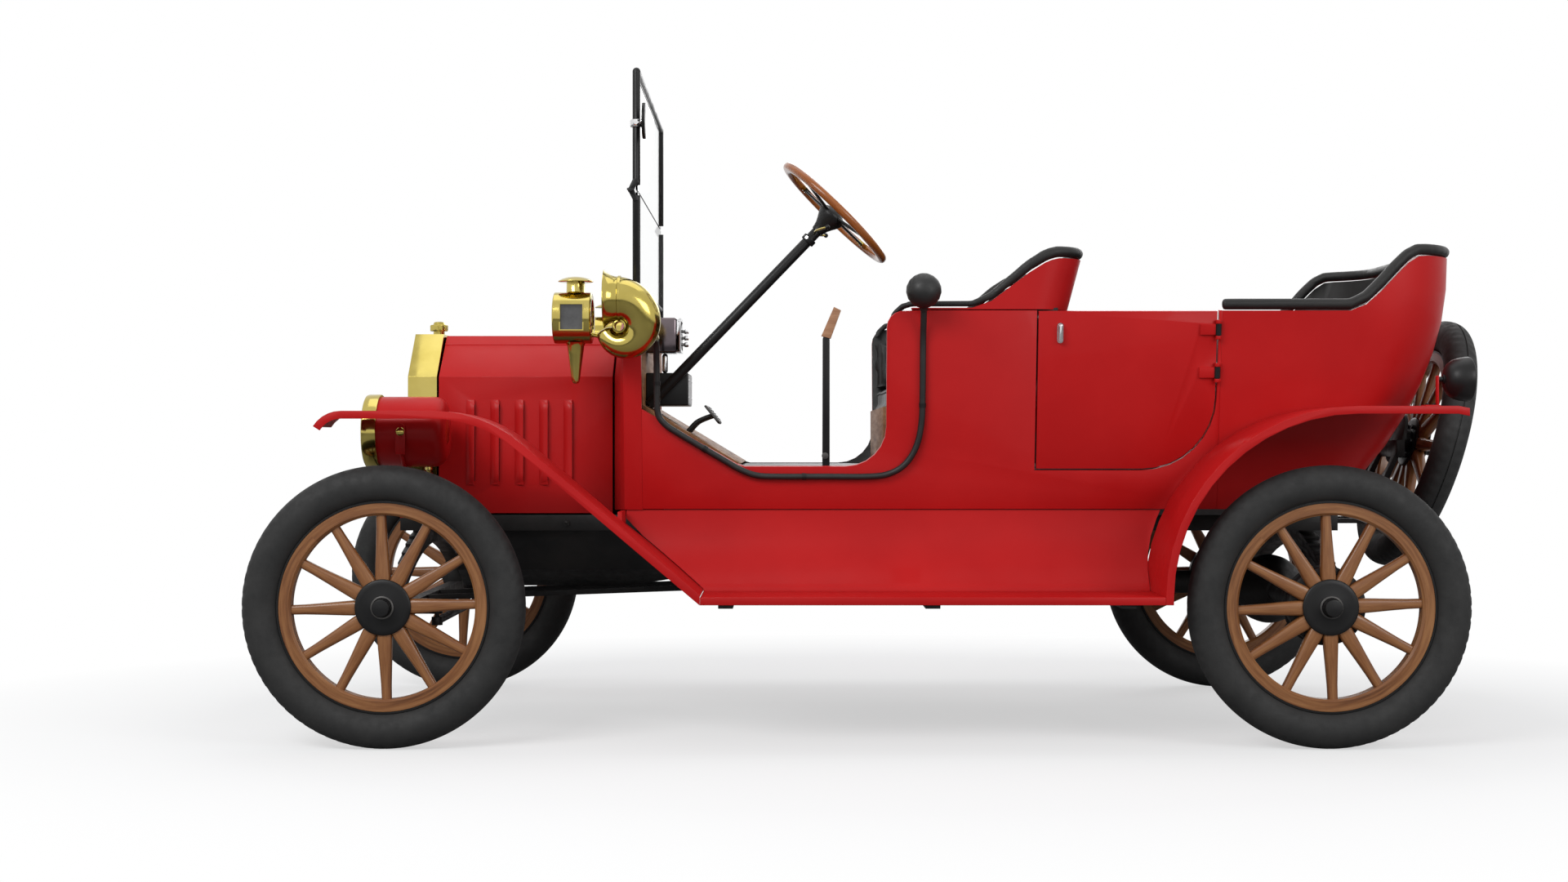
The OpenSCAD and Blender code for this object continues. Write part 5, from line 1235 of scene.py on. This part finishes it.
class Pad:
    """A stuffed piece: a CAD solid's copy made smaller, swollen by cloth and kept in the solid's room."""

    def __init__(self, name, node, keep, rests, voxel=0.014, inset=0.014, cap=0.024):
        self.node, self.rests, self.inset, self.cap = node, [unit(r) for r in rests], inset, cap
        bm = solid_of(node, keep)
        self.room = BVHTree.FromBMesh(bm)
        self.obj = remeshed(name, bm, voxel, 6)
        self.normals = [vert.normal.copy() for vert in self.obj.data.vertices]
        self.start = [vert.co - n * inset for vert, n in zip(self.obj.data.vertices, self.normals)]
        self.place(self.start)
        cloth = self.obj.modifiers.new("swell", "CLOTH")
        cloth.settings.use_pressure = True
        cloth.settings.uniform_pressure_force = 4
        cloth.settings.effector_weights.gravity = 0
        cloth.settings.quality = 4
        cloth.point_cache.frame_start = 1
        cloth.point_cache.frame_end = CLOTH_FRAMES

    def place(self, points):
        self.obj.data.vertices.foreach_set("co", [c for p in points for c in p])
        self.obj.data.update()

    def settle(self):
        """Takes the swollen shape, caps each point's way and keeps it inside the solid's room."""
        mesh = self.obj.evaluated_get(bpy.context.evaluated_depsgraph_get()).data
        swollen = [vert.co.copy() for vert in mesh.vertices]
        self.obj.modifiers.clear()
        points = []
        for start, normal, end in zip(self.start, self.normals, swollen):
            way = end - start
            if way.length > self.cap:
                way *= self.cap / way.length
            if max(normal.dot(r) for r in self.rests) > 0.75:
                way = normal * self.cap
            point = start + way
            near, out, _, _ = self.room.find_nearest(point)
            if (point - near).dot(out) > -0.0006:
                point = near - out * 0.0006
            points.append(point)
        self.place(points)
        self.obj.modifiers.new("soften", "SMOOTH").iterations = 2
        smooth = self.obj.modifiers.new("smooth", "SUBSURF")
        smooth.levels = smooth.render_levels = 1
        applied(self.obj)

    def sew(self, lines, front, depth=0.007, width=0.008):
        """Channels at set places across the car, on the side that looks to front."""
        points = []
        for point, normal in [(vert.co.copy(), vert.normal.copy()) for vert in self.obj.data.vertices]:
            if normal.dot(front) > 0.25:
                near = min(abs(point.y - line) for line in lines)
                point -= normal * depth * math.exp(-(near / width) ** 2)
            points.append(point)
        self.place(points)

    def finish(self, replaced=(), fill=0.6):
        mesh = self.obj.data
        mesh.materials.clear()
        mesh.materials.append(LEATHER)
        shade(self.obj, 60.0)
        fix(self.obj, "car", replaced)

    def welt(self, name, path, radius=0.0042):
        """Piping along path, laid on the pad's own skin."""
        bm = bmesh.new()
        bm.from_mesh(self.obj.data)
        skin = BVHTree.FromBMesh(bm)
        bm.free()
        points = []
        for p in path:
            near, out, _, _ = skin.find_nearest(p)
            points.append(near + out * radius * 0.35)
        piece = Piece(name)
        piece.tube(points, radius, LEATHER, 10, closed=True)
        piece.done("car")


def rounded_outline(x0, x1, y, z, r, n=6, step=0.05):
    """A rectangle with round corners from x0 to x1 and -y to y, as points along it."""
    corners = [(x1 - r, y - r, 0), (x0 + r, y - r, 90), (x0 + r, -y + r, 180), (x1 - r, -y + r, 270)]
    points = []
    for cx, cy, a in corners:
        points += [Vector((cx + r * math.cos(math.radians(a + 90 * k / n)),
            cy + r * math.sin(math.radians(a + 90 * k / n)), z)) for k in range(n + 1)]
    dense = []
    for a, b in zip(points, points[1:] + points[:1]):
        count = max(1, int((b - a).length / step))
        dense += [a.lerp(b, k / count) for k in range(count)]
    return dense


def seats():
    """Swells all pads together, sews the backs' channels and lays the cushions' piping."""
    ends = {"front": lambda c: c.x > -0.6, "rear": lambda c: c.x < -0.6}
    sides = {"left": lambda c: c.y > 0.2, "right": lambda c: c.y < -0.2}
    pads = {}
    for end, keep in ends.items():
        pads[f"cushion_{end}"] = Pad(f"cushion_{end}", "seat_cushions", keep, [(0, 0, -1)])
    for end, keep in ends.items():
        pads[f"back_{end}"] = Pad(f"back_{end}", "seat_backs", lambda c, p=keep: p(c) and abs(c.y) < 0.2,
            [(-1, 0, -0.2), (0, 0, -1)])
    for word, at in sides.items():
        lean = (0, 1 if word == "left" else -1, -0.14)
        for end, keep in ends.items():
            pads[f"arm_{end}_{word}"] = Pad(f"arm_{end}_{word}", "seat_backs", lambda c, a=at,
                p=keep: a(c) and p(c), [lean, (0, 0, -1)], voxel=0.010, inset=0.008, cap=0.014)
    for step in range(1, CLOTH_FRAMES + 1):
        bpy.context.scene.frame_set(step)
    for pad in pads.values():
        pad.settle()
    bpy.context.scene.frame_set(1)
    for name, count, half in (("back_front", 8, 0.44), ("back_rear", 8, 0.42)):
        lines = [half * (2 * k / count - 1) for k in range(1, count)]
        pads[name].sew(lines, Vector((0.97, 0, 0.24)))
    low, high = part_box("seat_cushions")
    half = high.y - 0.010
    pads["cushion_front"].welt("cushion_front_welt", rounded_outline(-0.44, high.x - 0.016, half,
        high.z - 0.010, 0.03))
    pads["cushion_rear"].welt("cushion_rear_welt", rounded_outline(low.x + 0.02, -1.026, half - 0.03,
        high.z - 0.010, 0.03))
    for name, pad in pads.items():
        replaced = {"cushion_front": "seat_cushions", "back_front": "seat_backs"}.get(name, ())
        pad.finish(replaced)


seats()


def shell_joint(side, word):
    """A strip behind the joint between the front seat's shell and the side below it."""
    piece = Piece(f"shell_joint_{word}")
    piece.box((-0.470, min(side * 0.4905, side * 0.4955), 1.178),
        (-0.062, max(side * 0.4905, side * 0.4955), 1.199), LEATHER)
    piece.done("car")


both(shell_joint)


def rolls():
    """The rolls on the rims, round and soft at their ends."""
    for name, keep in (("roll_front", lambda c: c.x > -0.6), ("roll_rear", lambda c: c.x < -0.6)):
        obj = remeshed(name, solid_of("seat_rolls", keep), 0.0055, 8)
        obj.data.materials.clear()
        obj.data.materials.append(LEATHER)
        shade(obj, 60.0)
        fix(obj, "car", "seat_rolls" if name == "roll_front" else ())


rolls()

# Stage, lights and camera

CAMERA_AT = (0.295, 6.298, 0.827)
LENS_MM, SENSOR_MM = 47.72, 36.0
FLOOR_HALF = 12.0


def mixed(tree, share, first, second):
    """A shader node between first and second; share is the socket that says how much of second."""
    mix = tree.nodes.new("ShaderNodeMixShader")
    link(tree, share, mix.inputs["Fac"])
    link(tree, first.outputs[0], mix.inputs[1])
    link(tree, second.outputs[0], mix.inputs[2])
    return mix


def lamp(name, at, aim, size, power):
    data = bpy.data.lights.new(name, "AREA")
    data.shape = "RECTANGLE"
    data.size, data.size_y = size
    data.energy = power
    obj = stand(name, data)
    obj.location = at
    obj.rotation_euler = (Vector(aim) - Vector(at)).to_track_quat("-Z", "Y").to_euler()


def backdrop_material():
    """A pale floor that keeps the shadow near the car and turns plain white far from it."""
    mat, tree, shader = nodes_of("studio_floor")
    put(shader, {"Base Color": (0.88, 0.88, 0.88, 1.0), "Roughness": 0.9, "Specular IOR Level": 0.0})
    white = tree.nodes.new("ShaderNodeEmission")
    white.inputs["Strength"].default_value = 1.0
    place = tree.nodes.new("ShaderNodeTexCoord")
    shrink = tree.nodes.new("ShaderNodeMapping")
    shrink.inputs["Scale"].default_value = (0.30, 0.36, 0.36)
    link(tree, place.outputs["Object"], shrink.inputs["Vector"])
    length = tree.nodes.new("ShaderNodeVectorMath")
    length.operation = "LENGTH"
    link(tree, shrink.outputs["Vector"], length.inputs[0])
    far = ramp(tree, length.outputs["Value"], [(0.60, grey(0.55)), (0.95, grey(1.0))])
    rays = tree.nodes.new("ShaderNodeLightPath")
    direct = reckon(tree, "MAXIMUM", rays.outputs["Is Camera Ray"], rays.outputs["Is Transmission Ray"])
    pale = mixed(tree, far.outputs["Color"], shader, white)
    dim = tree.nodes.new("ShaderNodeBsdfDiffuse")
    dim.inputs["Color"].default_value = (0.30, 0.30, 0.30, 1.0)
    lit = mixed(tree, direct, dim, pale)
    link(tree, lit.outputs[0], tree.nodes["Material Output"].inputs["Surface"])
    return mat


def world():
    """Soft light on the car and plain white behind it."""
    scene_world = bpy.data.worlds.new("studio")
    scene_world.use_nodes = True
    tree = scene_world.node_tree
    tree.nodes.clear()
    out = tree.nodes.new("ShaderNodeOutputWorld")
    soft, white = tree.nodes.new("ShaderNodeBackground"), tree.nodes.new("ShaderNodeBackground")
    put(soft, {"Color": (0.90, 0.92, 0.95, 1.0), "Strength": 0.55})
    put(white, {"Color": (1.0, 1.0, 1.0, 1.0), "Strength": 1.0})
    rays = tree.nodes.new("ShaderNodeLightPath")
    seen = reckon(tree, "MAXIMUM", rays.outputs["Is Camera Ray"], rays.outputs["Is Transmission Ray"])
    through = reckon(tree, "MAXIMUM", seen, rays.outputs["Is Glossy Ray"])
    link(tree, mixed(tree, through, soft, white).outputs[0], out.inputs["Surface"])
    bpy.context.scene.world = scene_world


def floor():
    mesh = bpy.data.meshes.new("studio_floor")
    s = FLOOR_HALF
    mesh.from_pydata([(-s, -s, 0), (s, -s, 0), (s, s, 0), (-s, s, 0)], [], [(0, 1, 2, 3)])
    mesh.materials.append(backdrop_material())
    obj = stand("studio_floor", mesh)


def camera():
    """The photo's camera: level, looking along -Y."""
    data = bpy.data.cameras.new("photo_camera")
    data.sensor_width = SENSOR_MM
    data.lens = LENS_MM
    data.clip_end = 100.0
    obj = stand("photo_camera", data)
    obj.location = CAMERA_AT
    obj.rotation_euler = (math.radians(90), 0, math.radians(180))
    bpy.context.scene.camera = obj


world()
floor()
camera()
lamp("key", (3.2, 4.6, 4.2), (0, 0, 0.7), (3.0, 2.0), 175)
lamp("fill", (-3.6, 4.4, 2.6), (0, 0, 0.7), (2.6, 2.0), 80)
lamp("top", (0, -0.5, 5.2), (0, 0, 0.6), (5.0, 3.0), 45)
lamp("back", (-1.5, -5.0, 3.2), (0, 0, 0.8), (4.0, 2.0), 60)

scene = bpy.context.scene
scene.view_settings.view_transform = "Standard"
